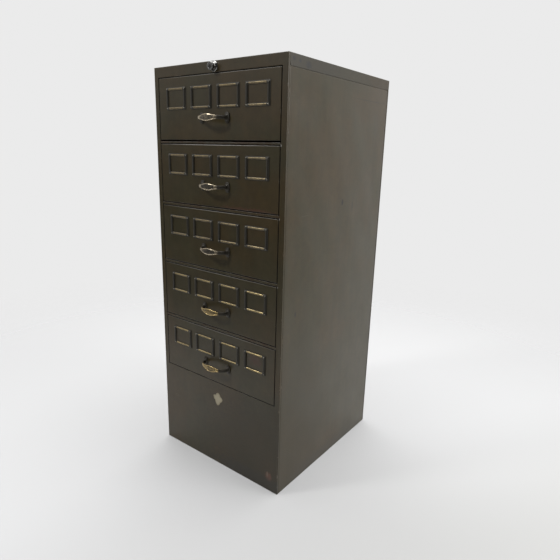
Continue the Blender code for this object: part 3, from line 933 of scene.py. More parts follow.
class Finishes:
    """Every finish of the cabinet, built once."""

    HANDLE_FILM: Colour = (0.040, 0.034, 0.024)
    HOLDER_FILM: Colour = (0.044, 0.040, 0.030)
    # Painted highlight: light lines along the drawers' top folds.
    EDGE_HIGHLIGHT: Colour = (0.40, 0.38, 0.35)
    # Painted glints on worn metal: bright spots on the right stile.
    WORN_GLINT: Colour = (0.42, 0.40, 0.36)
    DARK_MARK: Colour = (0.010, 0.008, 0.006)
    EDGE_HIGHLIGHT_SIZE = (0.25, 0.004, 0.0022)

    def __init__(self) -> None:
        """Builds the materials."""
        front_y = frame_front()
        side_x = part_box("right_side_panel")[1].x
        rail_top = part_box("cross_rail_1")[1].z
        tops = {number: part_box(f"drawer_{number}_front")[1].z for number in range(1, DRAWERS + 1)}
        plinth_blots = (
            # Painted glints on worn metal, on the right stile beside the tops of drawers 2 to 4.
            *(
                Blot((0.2478, front_y, tops[number]), (0.0022, 0.003, 0.004), self.WORN_GLINT, strength, 0.15)
                for number, strength in ((2, 0.9), (3, 0.7), (4, 0.6))
            ),
            # Darker towards the lower right of the plinth.
            Blot((0.20, front_y, 0.13), (0.30, 0.03, 0.22), (0.026, 0.019, 0.007), 0.55, 0.4),
            Blot((0.229, front_y, 0.052), (0.015, 0.03, 0.018), (0.125, 0.055, 0.035), 0.9, 0.3),
            Blot((0.224, front_y, 0.058), (0.004, 0.03, 0.012), (0.16, 0.12, 0.08), 0.7, 0.4),
            # Darker along the foot of the plinth.
            Blot((0.16, front_y, 0.02), (0.22, 0.03, 0.035), (0.030, 0.027, 0.021), 0.55),
        )
        drawer_blots = (
            Blot((0.166, front_y, 0.445), (0.030, 0.02, 0.022), (0.085, 0.030, 0.024), 0.42, 0.9),
            Blot((0.130, front_y, 0.908), (0.11, 0.02, 0.007), (0.10, 0.045, 0.030), 0.5, 0.9),
            # Painted highlight lines along each drawer's top fold, brightest on drawer 2.
            *(
                Blot((0.0, front_y, tops[number] - 0.0006), self.EDGE_HIGHLIGHT_SIZE, self.EDGE_HIGHLIGHT, strength, 0.05)
                for number, strength in ((1, 0.30), (2, 1.0), (3, 0.42), (4, 0.30), (5, 0.34))
            ),
        )
        cap_blots = (
            # Darker over the front part of the cap's right skirt.
            Blot((side_x, -0.22, 1.304), (0.03, 0.22, 0.06), (0.028, 0.022, 0.008), 0.6, 0.5),
            *(
                Blot((side_x, y, z), (0.02, size, size * 0.8), self.DARK_MARK, 0.9, 0.35)
                for y, z, size in ((-0.270, 1.307, 0.008), (-0.242, 1.305, 0.007), (-0.203, 1.300, 0.015))
            ),
        )
        side_blots = (
            # Darker towards the lower front of the side.
            Blot((side_x, -0.24, 0.22), (0.05, 0.26, 0.36), (0.032, 0.025, 0.009), 0.55, 0.3),
            # Painted shade of a crease: a thin dark line near the top of the side, which is flat there.
            Blot((side_x, 0.17, 1.242), (0.02, 0.13, 0.0016), (0.018, 0.015, 0.010), 0.55, 0.25),
            Blot((side_x, 0.019, 0.92), (0.02, 0.007, 0.011), (0.006, 0.005, 0.004), 1.0, 0.3),
            Blot((side_x, 0.085, 0.905), (0.02, 0.003, 0.020), (0.008, 0.007, 0.005), 0.9, 0.2),
            Blot((side_x, -0.225, 0.60), (0.02, 0.006, 0.010), (0.012, 0.010, 0.007), 0.8, 0.3),
            # Darker along the foot of the side.
            Blot((side_x, 0.0, 0.0), (0.04, 0.30, 0.05), (0.034, 0.029, 0.018), 0.6, 0.5),
        )
        # Painted shadow: the top of cross rail 1, under drawer 1, darkened nearly to black.
        rail_shadow_blots = (Blot((0.0, front_y, rail_top), (0.40, 0.05, 0.006), (0.006, 0.005, 0.004), 0.92, 0.05),)
        front = Enamel("front_enamel", blots=plinth_blots)
        drawer = Enamel("drawer_enamel", blots=drawer_blots)
        side = Enamel("side_enamel", streaks=0.62, roughness=0.32, scratches=0.25, blots=side_blots)
        cap = Enamel("cap_enamel", grain=Grain.LENGTHWISE, streaks=0.4, blots=cap_blots)
        rail = Enamel("rail_enamel", grain=Grain.ACROSS, chips=0.62, blots=rail_shadow_blots)
        inner = Enamel(
            "inner_enamel", (0.052, 0.045, 0.024), (0.056, 0.044, 0.022), Grain.LENGTHWISE,
            streaks=0.3, roughness=0.5, chips=0.5, scratches=0.5,
        )
        dull_handle, brass_handle = (
            Plating(f"{name}_handle_plating", metal, self.HANDLE_FILM, roughness=0.24, mottle=0.8)
            for name, metal in (("dull", (0.50, 0.42, 0.30)), ("brass", (0.56, 0.41, 0.18)))
        )
        dull_holder, brass_holder = (
            Plating(f"{name}_holder_plating", metal, self.HOLDER_FILM, roughness=roughness)
            for name, metal, roughness in (
                ("dull", (0.21, 0.165, 0.095), 0.36),
                ("brass", (0.31, 0.24, 0.12), 0.34),
            )
        )
        rivet = Plating("rivet_steel", (0.26, 0.24, 0.20), (0.05, 0.046, 0.036), 0.5, 0.34, scale=400.0)
        chrome = Plating("lock_chrome", (0.27, 0.27, 0.26), (0.05, 0.046, 0.04), 0.3, 0.21, scale=240.0)
        zinc = Plating("zinc_steel", (0.50, 0.49, 0.46), (0.10, 0.09, 0.075), 0.5, 0.36, scale=45.0)
        paper = Paper("plain_sticker", (0.42, 0.375, 0.27), (0.22, 0.18, 0.115))
        effects = Effects()
        self.front, self.drawer, self.side, self.cap, self.rail, self.inner = (
            finish.build(effects) for finish in (front, drawer, side, cap, rail, inner)
        )
        self.handles = (dull_handle.build(effects), brass_handle.build(effects))
        self.holders = (dull_holder.build(effects), brass_holder.build(effects))
        self.rivet, self.chrome, self.zinc, self.paper = (
            finish.build(effects) for finish in (rivet, chrome, zinc, paper)
        )


# Carcass ------------------------------------------------------------------------------------------


@dataclass
class Carcass:
    """The folded shell: front frame, sides, back, cap, base and the rails between the drawers."""

    finishes: Finishes
    sheet: float = 0.0012
    seam: float = 0.0004
    fold_radius: float = 0.0016
    opening_corner: float = 0.0012
    unevenness: float = 0.0006
    front_seed: float = 1.7
    lock_bore: float = 0.0131
    bracket_x: tuple[float, float] = (0.020, 0.235)
    bracket_span: tuple[float, float, float, float] = (-0.280, -0.243, 1.2888, 1.3005)
    bracket_thickness: float = 0.002
    first_rail_drop: float = 0.0011
    rail_margin: float = 0.0006
    rivet_inset: float = 0.017
    rivet_radius: float = 0.0034
    rivet_height: float = 0.0013
    rivets_per_edge: int = 8
    body: str = "cabinet"
    width: float = field(init=False)
    front_y: float = field(init=False)
    height: float = field(init=False)

    def __post_init__(self) -> None:
        """Reads the shell's main sizes from the frame."""
        low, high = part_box("front_frame")
        self.width, self.front_y, self.height = high.x - low.x, low.y, high.z

    def build(self) -> None:
        """Makes every piece of the shell."""
        self._front_frame()
        self._side("left_side_panel", -1)
        self._side("right_side_panel", 1)
        self._back()
        self._cap()
        self._base()
        for number in range(1, DRAWERS):
            self._rail(f"cross_rail_{number}")
        self._cap_tongue()
        self._brackets()
        self._back_rivets()

    def _finish(
        self,
        name: str,
        patches: list[Patch],
        material: bpy.types.Material,
        cutters: Sequence[Sequence[Patch]] = (),
    ) -> None:
        """Makes a sheet piece that stands for the node of the same name."""
        make_piece(f"{name}_sheet", patches, material, self.body, [name], self.sheet, cutters=cutters)

    def _front_frame(self) -> None:
        """Header, stiles and plinth: an outer fold, a flat face bridged to the opening, and its fold."""
        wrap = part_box("right_side_panel")[0].y - self.seam - self.front_y
        opening_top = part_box("top_cap")[0].z
        gap = opening_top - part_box("drawer_1_front")[1].z
        opening_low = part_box(f"drawer_{DRAWERS}_front")[0].z - gap
        opening_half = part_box("cross_rail_1")[1].x + self.seam
        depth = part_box("drawer_1_front")[1].y - self.front_y
        place = Place((0, self.front_y, self.height / 2), (1, 0, 0), (0, 0, 1), (0, 1, 0))
        radius, corner = self.fold_radius, self.opening_corner
        counts = (24, 60)
        outer = Border.of((self.width / 2 - radius, self.height / 2 - radius), counts)
        hole = Border.of((opening_half - corner, (opening_top - opening_low) / 2 - corner), counts)
        hole_up = np.array([0.0, (opening_top + opening_low) / 2 - self.height / 2])
        arc_out, arc_depth = fold(radius)
        beside = radius + np.array([NEAR_FOLD[2], NEAR_FOLD[1]])

        def ring(
            border: Border, shift: Array, flange: Array, outside: float, arc: Array, gap_shade: float
        ) -> Patch:
            """A flange and its fold all round one border, with painted shade on the flange side."""
            distance = np.concatenate([np.full(len(flange), outside), arc])
            depths = np.concatenate([flange, arc_depth])
            worn = np.concatenate([fade(flange - radius), np.ones(len(arc))])
            shade = shade_of(np.concatenate([np.zeros(len(flange)), np.linspace(0, 1, len(arc))]))
            points = place.at(border.out(distance) + shift, depths[:, None])
            return patch(points, worn[:, None], gap_shade * shade[:, None], wrap_columns=True)

        # The outer ring gets no painted shade; the opening's returns get full painted shade, for the shaded
        # gaps round the drawers.
        outer_ring = ring(outer, np.zeros(2), np.array([wrap, *beside]), radius, arc_out, 0.0)
        returns = np.array([depth, depth / 2, *beside])
        hole_ring = ring(hole, hole_up, returns, corner, corner + radius - arc_out, 1.0)
        start, end = outer.core, hole.out(np.array([corner + radius]))[0] + hole_up
        width = np.linalg.norm(end - start, axis=1)[None]
        near = np.array([0.0, 0.0012, 0.003, 0.006])[:, None] / width
        middle = np.linspace(near[-1], 1 - near[-1], 12)[1:-1]
        share = np.vstack([near, middle, 1 - near[::-1]])
        flat = start + share[..., None] * (end - start)
        inside = np.minimum(share, 1 - share) * width
        sunk = hollow(flat, inside, self.unevenness, self.front_seed)
        face = patch(place.at(flat, sunk), fade(inside), wrap_columns=True)
        lock = extent("lock_collar")[2]
        profile = [(0.0, -0.01), (self.lock_bore, -0.01), (self.lock_bore, 0.01), (0.0, 0.01)]
        bore = turned(profile, (lock.x, self.front_y, lock.z))
        self._finish("front_frame", [outer_ring, face, hole_ring], self.finishes.front, cutters=[[bore]])

    def _side(self, name: str, side: int) -> None:
        """A side panel, with flanges at the front, the back and the floor."""
        low, high, middle = extent(name)
        face_x = high.x if side > 0 else low.x
        place = Place((face_x, middle.y, middle.z), (0, side, 0), (0, 0, 1), (-side, 0, 0))
        flange = high.x - low.x
        pan = Pan(
            place, ((high.y - low.y) / 2, (high.z - low.z) / 2), (flange, self.fold_radius, flange, flange),
            self.fold_radius, (28, 60), self.unevenness * 1.6, 0.6 * side,
        )
        self._finish(name, pan.patches(), self.finishes.side)

    def _back(self) -> None:
        """The back pan, which wraps round both sides."""
        low, high, middle = extent("back_panel")
        wrap = high.y - low.y
        place = Place((0, high.y, middle.z), (-1, 0, 0), (0, 0, 1), (0, -1, 0))
        pan = Pan(
            place, (high.x, (high.z - low.z) / 2), (wrap, self.fold_radius, wrap, wrap),
            self.fold_radius, (26, 60), self.unevenness * 1.6, 2.9,
        )
        self._finish("back_panel", pan.patches(), self.finishes.side)

    def _cap(self) -> None:
        """The top cap, with skirts at the sides and the back."""
        low, high, middle = extent("top_cap")
        skirt = high.z - low.z
        place = Place((0, middle.y, high.z), (1, 0, 0), (0, 1, 0), (0, 0, -1))
        pan = Pan(
            place, (high.x, (high.y - low.y) / 2), (skirt, skirt, skirt, self.fold_radius),
            self.fold_radius, (26, 28), self.unevenness * 1.2, 4.2,
        )
        self._finish("top_cap", pan.patches(), self.finishes.cap)

    def _cap_tongue(self) -> None:
        """A joggled strip that closes the seam between the cap's skirt and the panels below it."""
        low, high, middle = extent("top_cap")
        corner, reach = 0.001, 0.010
        inner = self.sheet + self.seam
        half_u, half_v = high.x - inner, (high.y - low.y) / 2 - inner
        border = Border.of((half_u - corner, half_v - corner), (4, 4), 3)
        place = Place((0, middle.y, low.z), (1, 0, 0), (0, 1, 0), (0, 0, -1))
        depth = np.array([-reach, reach])[:, None]
        not_front = border.turn < 3.0
        points = place.at(border.out(np.array([corner, corner])), depth)[:, not_front]
        finish, slot = self.finishes.inner, "inner_enamel"
        make_piece("cap_tongue", [patch(points)], finish, self.body, sheet=0.0008)

    def _brackets(self) -> None:
        """Two plates behind the header that carry the lock's rock shaft."""
        low_y, high_y, low_z, high_z = self.bracket_span
        half = self.bracket_thickness / 2
        patches = []
        for x in self.bracket_x:
            patches += rounded_block((x - half, low_y, low_z), (x + half, high_y, high_z), 0.0006)
        make_piece("shaft_brackets", patches, self.finishes.inner, self.body)

    def _back_rivets(self) -> None:
        """Painted rivet heads down both edges of the back and along its top and foot."""
        low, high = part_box("back_panel")
        edge_x, y = high.x - self.rivet_inset, high.y - 0.0003
        rows = np.linspace(low.z + 0.04, high.z - 0.04, self.rivets_per_edge)
        ends = (low.z + 0.02, high.z - 0.02)
        spots = [(x, y, z) for x in (-edge_x, edge_x) for z in rows]
        spots += [(x, y, z) for x in np.linspace(-0.5, 0.5, 3) * edge_x for z in ends]
        heads = [dome(spot, (0, 1, 0), self.rivet_radius, self.rivet_height) for spot in spots]
        make_piece("back_rivets", heads, self.finishes.side, self.body, sharp_degrees=50)

    def _base(self) -> None:
        """The base pan, its face on the floor and its flanges turned up."""
        low, high, middle = extent("base_pan")
        place = Place((0, middle.y, 0), (1, 0, 0), (0, -1, 0), (0, 0, 1))
        half = ((high.x - low.x) / 2, (high.y - low.y) / 2)
        pan = Pan(place, half, (high.z,) * 4, self.fold_radius, (8, 8))
        self._finish("base_pan", pan.patches(), self.finishes.inner)

    def _rail(self, name: str) -> None:
        """A thin channel between two drawers."""
        low, high, middle = extent(name)
        drop = self.first_rail_drop if name == "cross_rail_1" else 0.0
        place = Place((0, low.y, middle.z - drop), (1, 0, 0), (0, 0, 1), (0, 1, 0))
        half = (high.x, (high.z - low.z) / 2 - self.rail_margin - drop)
        # Full painted shade on the rail's folds and flanges, which lie in the shaded gaps between drawers.
        pan = Pan(place, half, (high.y - low.y,) * 4, 0.0012, (24, 2), gap_shade=1.0)
        self._finish(name, pan.patches(), self.finishes.rail)


# Drawers ------------------------------------------------------------------------------------------


@dataclass
class LabelHolder:
    """A stamped frame for a card: rounded rails, a rolled inner lip and a rivet at each corner."""

    side_rail: float = 0.0105
    rail: float = 0.009
    outer_corner: float = 0.0022
    inner_corner: float = 0.0010
    lip: float = 0.0009
    side_bead: float = 0.0025
    rail_bead: float = 0.0020
    rivet_radius: float = 0.0021
    rivet_height: float = 0.0022
    window_rub: float = 0.006

    def _section(self, bead: Array) -> tuple[Array, Array]:
        """A closed section: outer lip, half-round bead, inner lip, and the recess for the card.

        The bead is lip + bead * sin(pi * t) for t across it.

        Args:
            bead: (columns,) heights of the bead above the lip.

        Returns:
            Shares of the way from the outer edge to the inner edge, and heights off the drawer front.
        """
        across = np.linspace(0.0, 1.0, 13)
        bead_share = 0.20 + 0.72 * across
        bead_height = self.lip + np.sin(math.pi * across)[:, None] ** 0.75 * bead
        share = np.concatenate([[0.04, 0.0, 0.0, 0.03, 0.16], bead_share, [1.0, 1.0, 0.96, 0.42, 0.40]])
        before = np.array([0.0, 0.0002, self.lip - 0.0002, self.lip, self.lip])
        after = np.array([self.lip * 0.95, self.lip * 0.6, 0.0005, 0.0005, 0.0])
        flat = np.ones_like(bead)
        height = np.vstack([before[:, None] * flat, bead_height, after[:, None] * flat])
        return share, height

    def build(self, node: str, body: str, finish: bpy.types.Material) -> list[Patch]:
        """Makes one holder.

        Args:
            node: the node that it stands for.
            body: the drawer's body.
            finish: its plating.

        Returns:
            The heads of its four rivets.
        """
        low, high, middle = extent(node)
        half = np.array([(high.x - low.x) / 2, (high.z - low.z) / 2])
        rails = np.array([self.side_rail, self.rail])
        place = Place((middle.x, high.y, middle.z), (1, 0, 0), (0, 0, 1), (0, -1, 0))
        counts = (10, 8)
        outer = Border.of(tuple(half - self.outer_corner), counts, 4)
        inner = Border.of(tuple(half - rails - self.inner_corner), counts, 4)
        start = outer.out(np.array([self.outer_corner]))[0]
        end = inner.out(np.array([self.inner_corner]))[0]
        sideways = ease(np.abs(outer.normal[:, 0]), 0.3, 0.7)
        bead = self.rail_bead + (self.side_bead - self.rail_bead) * sideways
        share, height = self._section(bead)
        flat = start + share[:, None, None] * (end - start)
        window = half - rails
        level = ease(np.abs(flat[..., 1]), window[1] - 0.001, window[1] + 0.0008)
        along = 1.0 - ease(np.abs(flat[..., 0]), window[0] - self.window_rub, window[0] + 0.0005)
        crest = ease(height, self.lip * 0.9, self.lip + self.rail_bead * 0.55)
        bare = level * along * crest
        shape = patch(place.at(flat, height), crest, bare, wrap_rows=True, wrap_columns=True)
        make_piece(f"{node}_frame", [shape], finish, body, [node], sharp_degrees=50)
        spots = [np.array([u, v]) * (half - rails * 0.54) for u in (-1, 1) for v in (-1, 1)]
        seat = self.lip + self.side_bead * 0.55
        size = (self.rivet_radius, self.rivet_height)
        return [dome(place.at(spot, seat), (0, -1, 0), *size) for spot in spots]


@dataclass
class BowHandle:
    """A cast bow handle: oval feet, round necks and a leaf-shaped grip with a raised rim."""

    half_span: float = 0.052
    reach: float = 0.034
    squareness: float = 2.3
    grip_half_height: float = 0.0104
    neck_half_height: float = 0.0054
    foot_half_height: float = 0.0156
    foot_half_width: float = 0.0098
    foot_thickness: float = 0.0022
    half_thickness: float = 0.0025
    rim: float = 0.0019
    recess: float = 0.0013
    polish: float = 0.5
    leaf_half_length: float = 0.034
    grip_from: tuple[float, float] = (0.020, 0.030)
    neck_to: tuple[float, float] = (0.018, 0.031)
    rubbed_from: tuple[float, float] = (0.016, 0.031)
    shaded_from: tuple[float, float] = (0.018, 0.040)
    foot_fade: float = 0.0024
    neck_growth: float = 0.0012
    around: int = 56

    def _path(self) -> tuple[Array, Array]:
        """The bow seen from above: a superellipse, |x / span|^n + |y / reach|^n = 1, dense at its feet.

        Returns:
            Centres (n, 2) as across and outwards, and unit tangents.
        """
        share = np.linspace(0.0, 1.0, 90) ** 1.7 * math.pi / 2
        angle = np.concatenate([share, math.pi - share[-2::-1]])
        power = 2.0 / self.squareness
        cosine, sine = np.cos(angle), np.sin(angle)
        across = -self.half_span * np.sign(cosine) * np.abs(cosine) ** power
        centre = np.stack([across, self.reach * np.abs(sine) ** power], -1)
        tangent = np.gradient(centre, axis=0)
        tangent /= np.linalg.norm(tangent, axis=1)[:, None]
        tangent[0], tangent[-1] = (0.0, 1.0), (0.0, -1.0)
        return centre, tangent

    def build(self, node: str, body: str, finish: bpy.types.Material) -> None:
        """Makes one handle.

        The section is an ellipse-like loop: thickness * cos(a) outwards and height * sin(a) upwards. On
        the grip its outward side sinks by the recess inside a leaf-shaped rim.

        Args:
            node: the node that it stands for.
            body: the drawer's body.
            finish: its plating.
        """
        low, high, middle = extent(node)
        centre, tangent = self._path()
        x, off = centre[:, 0], centre[:, 1]
        leaf = np.cos(np.clip(x / self.leaf_half_length, -1.0, 1.0) * math.pi / 2) ** 1.5
        grip = leaf * ease(off, *self.grip_from)
        foot = np.exp(-np.maximum(off - self.foot_thickness, 0.0) / self.foot_fade)
        plate = 1.0 - ease(off, self.foot_thickness - 0.0006, self.foot_thickness + 0.0012)
        rounding = 0.86 + 0.14 * ease(self.foot_thickness - off, 0.0, 0.0009)
        flare = np.maximum(0.46 * foot, plate * rounding)
        half_height = self.neck_half_height + (self.grip_half_height - self.neck_half_height) * grip
        half_height = half_height + (self.foot_half_height - self.neck_half_height) * flare
        neck_thickness = self.half_thickness + self.neck_growth * (1.0 - ease(off, *self.neck_to))
        half_thick = neck_thickness + (self.foot_half_width - neck_thickness) * flare
        angle = np.linspace(0.0, 2 * math.pi, self.around, endpoint=False)
        outwards = np.sign(np.cos(angle)) * np.abs(np.cos(angle)) ** 0.8
        upwards = np.sign(np.sin(angle)) * np.abs(np.sin(angle)) ** 0.92
        height = half_height[:, None] * upwards
        room = half_height[:, None] - self.rim - np.abs(height)
        sunk = ease(room, 0.0, 0.0011) * ease(grip, 0.12, 0.3)[:, None] * ease(outwards, 0.0, 0.4)
        push = half_thick[:, None] * outwards - self.recess * sunk
        aside = np.stack([-tangent[:, 1], tangent[:, 0]], -1)
        flat = centre[:, None] + push[..., None] * aside[:, None]
        points = np.stack([middle.x + flat[..., 0], high.y - flat[..., 1], middle.z + height], -1)
        rubbed = ease(off, *self.rubbed_from)[:, None] * ease(outwards, -0.5, 0.3)
        # Painted shade: the handle's right half keeps more dark film, as that side is turned from the light.
        shaded = 0.5 * ease(x, *self.shaded_from)[:, None]
        bare = np.clip(rubbed * (1.0 - (1.0 - self.polish) * sunk) - shaded, 0.0, 1.0)
        bow = patch(points, rubbed, bare, wrap_columns=True)
        caps = [end_cap(points[end], points[end].mean(axis=0)) for end in (0, -1)]
        make_piece(f"{node}_cast", [bow, *caps], finish, body, [node], sharp_degrees=60)


@dataclass
class Tray:
    """The inside of a drawer: folded tray with hemmed rims, partitions, inner front and slide flanges."""

    finishes: Finishes
    half_width: float = 0.228
    lift: float = 0.012
    height: float = 0.120
    partition_height: float = 0.104
    lanes: int = 4
    sheet: float = 0.0010
    hem: float = 0.0016
    rim_corner: float = 0.002
    bead: float = 0.0014
    plate: float = 0.0012
    block_edge: float = 0.0005
    end_gap: float = 0.004
    rail_start: float = 0.0212
    rail_half_height: float = 0.0015
    flange_half_width: float = 0.2425
    flange_height: float = 0.034
    lug_low: tuple[float, float, float] = (0.2275, -0.268, 0.122)
    lug_high: tuple[float, float, float] = (0.2440, -0.264, 0.130)

    def build(self, number: int) -> None:
        """Makes one drawer's tray.

        Args:
            number: the drawer's number from the top.
        """
        node, body = f"drawer_{number}_tray", f"drawer_{number}"
        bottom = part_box(f"drawer_{number}_front")[0].z
        low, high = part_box(node)
        front_y, back_y = low.y + 0.0004, high.y
        middle_y, half_length = (front_y + back_y) / 2, (back_y - front_y) / 2
        floor = bottom + self.lift
        place = Place((0, middle_y, floor), (1, 0, 0), (0, -1, 0), (0, 0, 1))
        pan = Pan(place, (self.half_width, half_length), (self.height - self.hem,) * 4, 0.0015, (8, 8))
        finish, slot = self.finishes.inner, "inner_enamel"
        make_piece(f"{node}_sheet", pan.patches(), finish, body, [node], self.sheet)
        inset = self.hem + self.rim_corner
        border = Border.of((self.half_width - inset, half_length - inset), (2, 2), 5)
        rim = border.out(np.array([self.rim_corner]))[0]
        rim_z = np.full(len(rim), floor + self.height - self.hem)
        path = np.column_stack([rim[:, 0], middle_y - rim[:, 1], rim_z])
        patches = tube(path, self.hem, 10, closed=True)
        lane = 2 * self.half_width / self.lanes
        top, half = floor + self.partition_height, self.sheet / 2
        along = np.linspace(front_y + self.end_gap, back_y - self.end_gap, 8)
        for index in range(1, self.lanes):
            x = -self.half_width + index * lane
            foot = (x - half, front_y + self.plate, floor + self.sheet)
            patches += rounded_block(foot, (x + half, back_y - self.sheet, top), 0.0004)
            level = np.full(len(along), top - self.plate)
            patches += tube(np.column_stack([np.full(len(along), x), along, level]), self.bead)
        outer, z = self.flange_half_width, bottom + self.flange_height
        blocks = [((-outer, low.y, low.z), (outer, low.y + self.plate, high.z))]
        for side in (-1, 1):
            near, far = sorted((side * self.half_width, side * outer))
            foot = (near, front_y + self.rail_start, z - self.rail_half_height)
            blocks.append((foot, (far, back_y - self.end_gap, z + self.rail_half_height)))
        lift = np.array([0.0, 0.0, bottom])
        blocks.append((self.lug_low + lift, self.lug_high + lift))
        for block in blocks:
            patches += rounded_block(*block, self.block_edge)
        make_piece(f"drawer_{number}_fittings", patches, finish, body)


@dataclass
class Drawer:
    """One drawer with all that moves with it, and its slides."""

    finishes: Finishes
    number: int
    margin: float = 0.0004
    fold_radius: float = 0.0015
    unevenness: float = 0.0005
    rivets_per_rail: int = 6
    rivet_radius: float = 0.0040
    rivet_height: float = 0.0010
    polish: tuple[float, ...] = (0.42, 0.30, 0.30, 0.44, 0.44)

    def build(self) -> None:
        """Makes the front, four label holders, the handle, the tray and the rivets."""
        name = f"drawer_{self.number}"
        brass = self.number > DRAWERS - BRASS_DRAWERS
        low, high, middle = extent(f"{name}_front")
        place = Place((0, low.y, middle.z), (1, 0, 0), (0, 0, 1), (0, 1, 0))
        half = (high.x - self.margin, (high.z - low.z) / 2 - self.margin)
        # Full painted shade on the front's folds and flanges, for the shaded gaps round the drawer.
        pan = Pan(
            place, half, (high.y - low.y,) * 4, self.fold_radius, (40, 16), self.unevenness,
            seed=1.3 * self.number, gap_shade=1.0,
        )
        front = f"{name}_front"
        make_piece(f"{front}_sheet", pan.patches(), self.finishes.drawer, name, [front], 0.001)
        rivets = []
        for index in range(1, HOLDERS + 1):
            holder = f"{name}_label_holder_{index}"
            rivets += LabelHolder().build(holder, name, self.finishes.holders[brass])
        make_piece(f"{name}_rivets", rivets, self.finishes.rivet, name, sharp_degrees=50)
        self._cradle_rivets()
        handle = BowHandle(polish=self.polish[self.number - 1])
        handle.build(f"{name}_handle", name, self.finishes.handles[brass])
        Tray(self.finishes).build(self.number)

    def _cradle_rivets(self) -> None:
        """Flat rivet heads along the outside of the travelling slide rails."""
        low, high, middle = extent(f"slide_cradle_{self.number}")
        body = f"cradle_{self.number}"
        heads = [
            dome((side * (high.x - 0.0001), y, middle.z), (side, 0, 0), self.rivet_radius, self.rivet_height)
            for side in (-1, 1)
            for y in np.linspace(low.y + 0.018, high.y - 0.030, self.rivets_per_rail)
        ]
        make_piece(f"{body}_rivets", heads, self.finishes.rivet, body, sharp_degrees=50)


# Lock and slides ----------------------------------------------------------------------------------


@dataclass
class PushLock:
    """The push lock in the header: collar, plunger and key plug."""

    finishes: Finishes
    round_steps: int = 64
    plug_drop: float = 0.0004
    keyway_half: tuple[float, float] = (0.0007, 0.0042)
    keyway_depth: float = 0.006

    def build(self) -> None:
        """Makes the three turned pieces and gives the mechanism behind them its finish."""
        face_y, middle = frame_front(), extent("lock_collar")[2]
        centre = (middle.x, face_y, middle.z)
        collar_radius, radius, plug_radius = (
            (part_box(node)[1].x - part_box(node)[0].x) / 2
            for node in ("lock_collar", "lock_plunger", "key_plug")
        )
        reach = face_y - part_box("lock_plunger")[0].y
        bore = radius + PLAY
        barrel = collar_radius - 0.0018
        collar = [
            (bore, -0.028), (bore, 0.0022), (bore + 0.0004, 0.0029), (bore + 0.0010, 0.0030),
            (collar_radius - 0.0012, 0.0023), (collar_radius - 0.0002, 0.0013), (collar_radius, 0.0003),
            (barrel, 0.0003), (barrel, -0.030), (0.0030, -0.030), (0.0030, -0.028), (bore, -0.028),
        ]
        self._turn("lock_collar", collar, centre, "cabinet", 0.9)
        well = plug_radius + PLAY
        body = [
            (0.0, 0.004), (well, 0.004), (well, reach - 0.0006), (well + 0.0004, reach - 0.0001),
            (well + 0.0010, reach), (radius - 0.0016, reach), (radius - 0.0007, reach - 0.0003),
            (radius - 0.0001, reach - 0.0010), (radius, reach - 0.0018), (radius, reach - 0.0060),
            (radius - 0.0003, reach - 0.0064), (radius - 0.0003, reach - 0.0072), (radius, reach - 0.0076),
            (radius, -0.018), (0.0022, -0.018), (0.0022, -0.0405), (0.0, -0.0405),
        ]
        self._turn("lock_plunger", body, centre, "lock_plunger", 0.6)
        self._plug(centre, plug_radius, reach - self.plug_drop)
        for node in ("rock_shaft", "lock_bar"):
            dress(node, self.finishes.zinc)

    def _turn(
        self, node: str, profile: list[tuple[float, float]], centre: Sequence[float], body: str, bare: float
    ) -> None:
        """Makes one turned piece that stands for a node; bare is its share of clean chrome."""
        surface = turned(profile, centre, (0, -1, 0), self.round_steps, bare=bare)
        make_piece(
            f"{node}_turned", [surface], self.finishes.chrome, body, [node], sharp_degrees=40
        )

    def _plug(self, centre: Sequence[float], radius: float, reach: float) -> None:
        """The key plug: a turned disc with a keyway cut into its face."""
        profile = [
            (0.0, reach), (radius - 0.0006, reach), (radius - 0.0001, reach - 0.0003),
            (radius, reach - 0.0008), (radius, 0.0044), (0.0, 0.0044),
        ]
        surface = turned(profile, centre, (0, -1, 0), self.round_steps, bare=0.35)
        x, y, z = centre
        front, back = y - reach - 0.002, y - reach + self.keyway_depth
        wide, tall = self.keyway_half
        keyway = rounded_block((x - wide, front, z - tall), (x + wide, back, z + tall), 0.0005)
        ward = rounded_block((x - 0.0005, front, z - 0.0012), (x + 0.0022, back, z + 0.0002), 0.0003)
        make_piece(
            "key_plug_turned", [surface], self.finishes.chrome, "key_plug", ["key_plug"],
            sharp_degrees=35, cutters=(keyway, ward),
        )


def dress(node: str, material: bpy.types.Material) -> None:
    """Gives a node of the frame its finish.

    Args:
        node: the node's name.
        material: the finish.
    """
    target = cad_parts[node]
    target.data.materials.clear()
    target.data.materials.append(material)
    LOG.info("%s keeps its shape, dressed in %s", node, material.name)


def add_sticker(finishes: Finishes) -> None:
    """A plain paper sticker on the plinth: a kite with a round head and a slightly lifted rim.

    Its outline is a distance from the middle for each direction, led between ten listed distances.

    Args:
        finishes: the finishes.
    """
    steps = 120
    directions = [7, 40, 62, 85, 105, 130, 155, 215, 270, 315]
    reaches = [0.0230, 0.0170, 0.0205, 0.0235, 0.0200, 0.0155, 0.0220, 0.0135, 0.0250, 0.0160]
    degrees = np.arange(steps) / steps * 360
    outline = np.interp(degrees, directions, reaches, period=360)
    angle = np.radians(degrees)
    share = np.array([0.0, 0.3, 0.6, 0.85, 0.96, 1.0, 1.0, 0.0])
    lift = np.array([0.00022, 0.00022, 0.00022, 0.00025, 0.00033, 0.0004, 0.0002, 0.0002]) - 0.0001
    flat = np.stack([outline * np.cos(angle), outline * np.sin(angle)], -1) * share[:, None, None]
    middle = (0.002, frame_front() + 0.0001, 0.252)
    place = Place(middle, (1, 0, 0), (0, 0, 1), (0, -1, 0))
    edge = np.concatenate([ease(share[:6], 0.7, 1.0), [1.0, 0.0]])
    shape = patch(place.at(flat, lift[:, None]), edge[:, None], wrap_columns=True)
    make_piece("plinth_sticker", [shape], finishes.paper, "cabinet")


# Studio -------------------------------------------------------------------------------------------


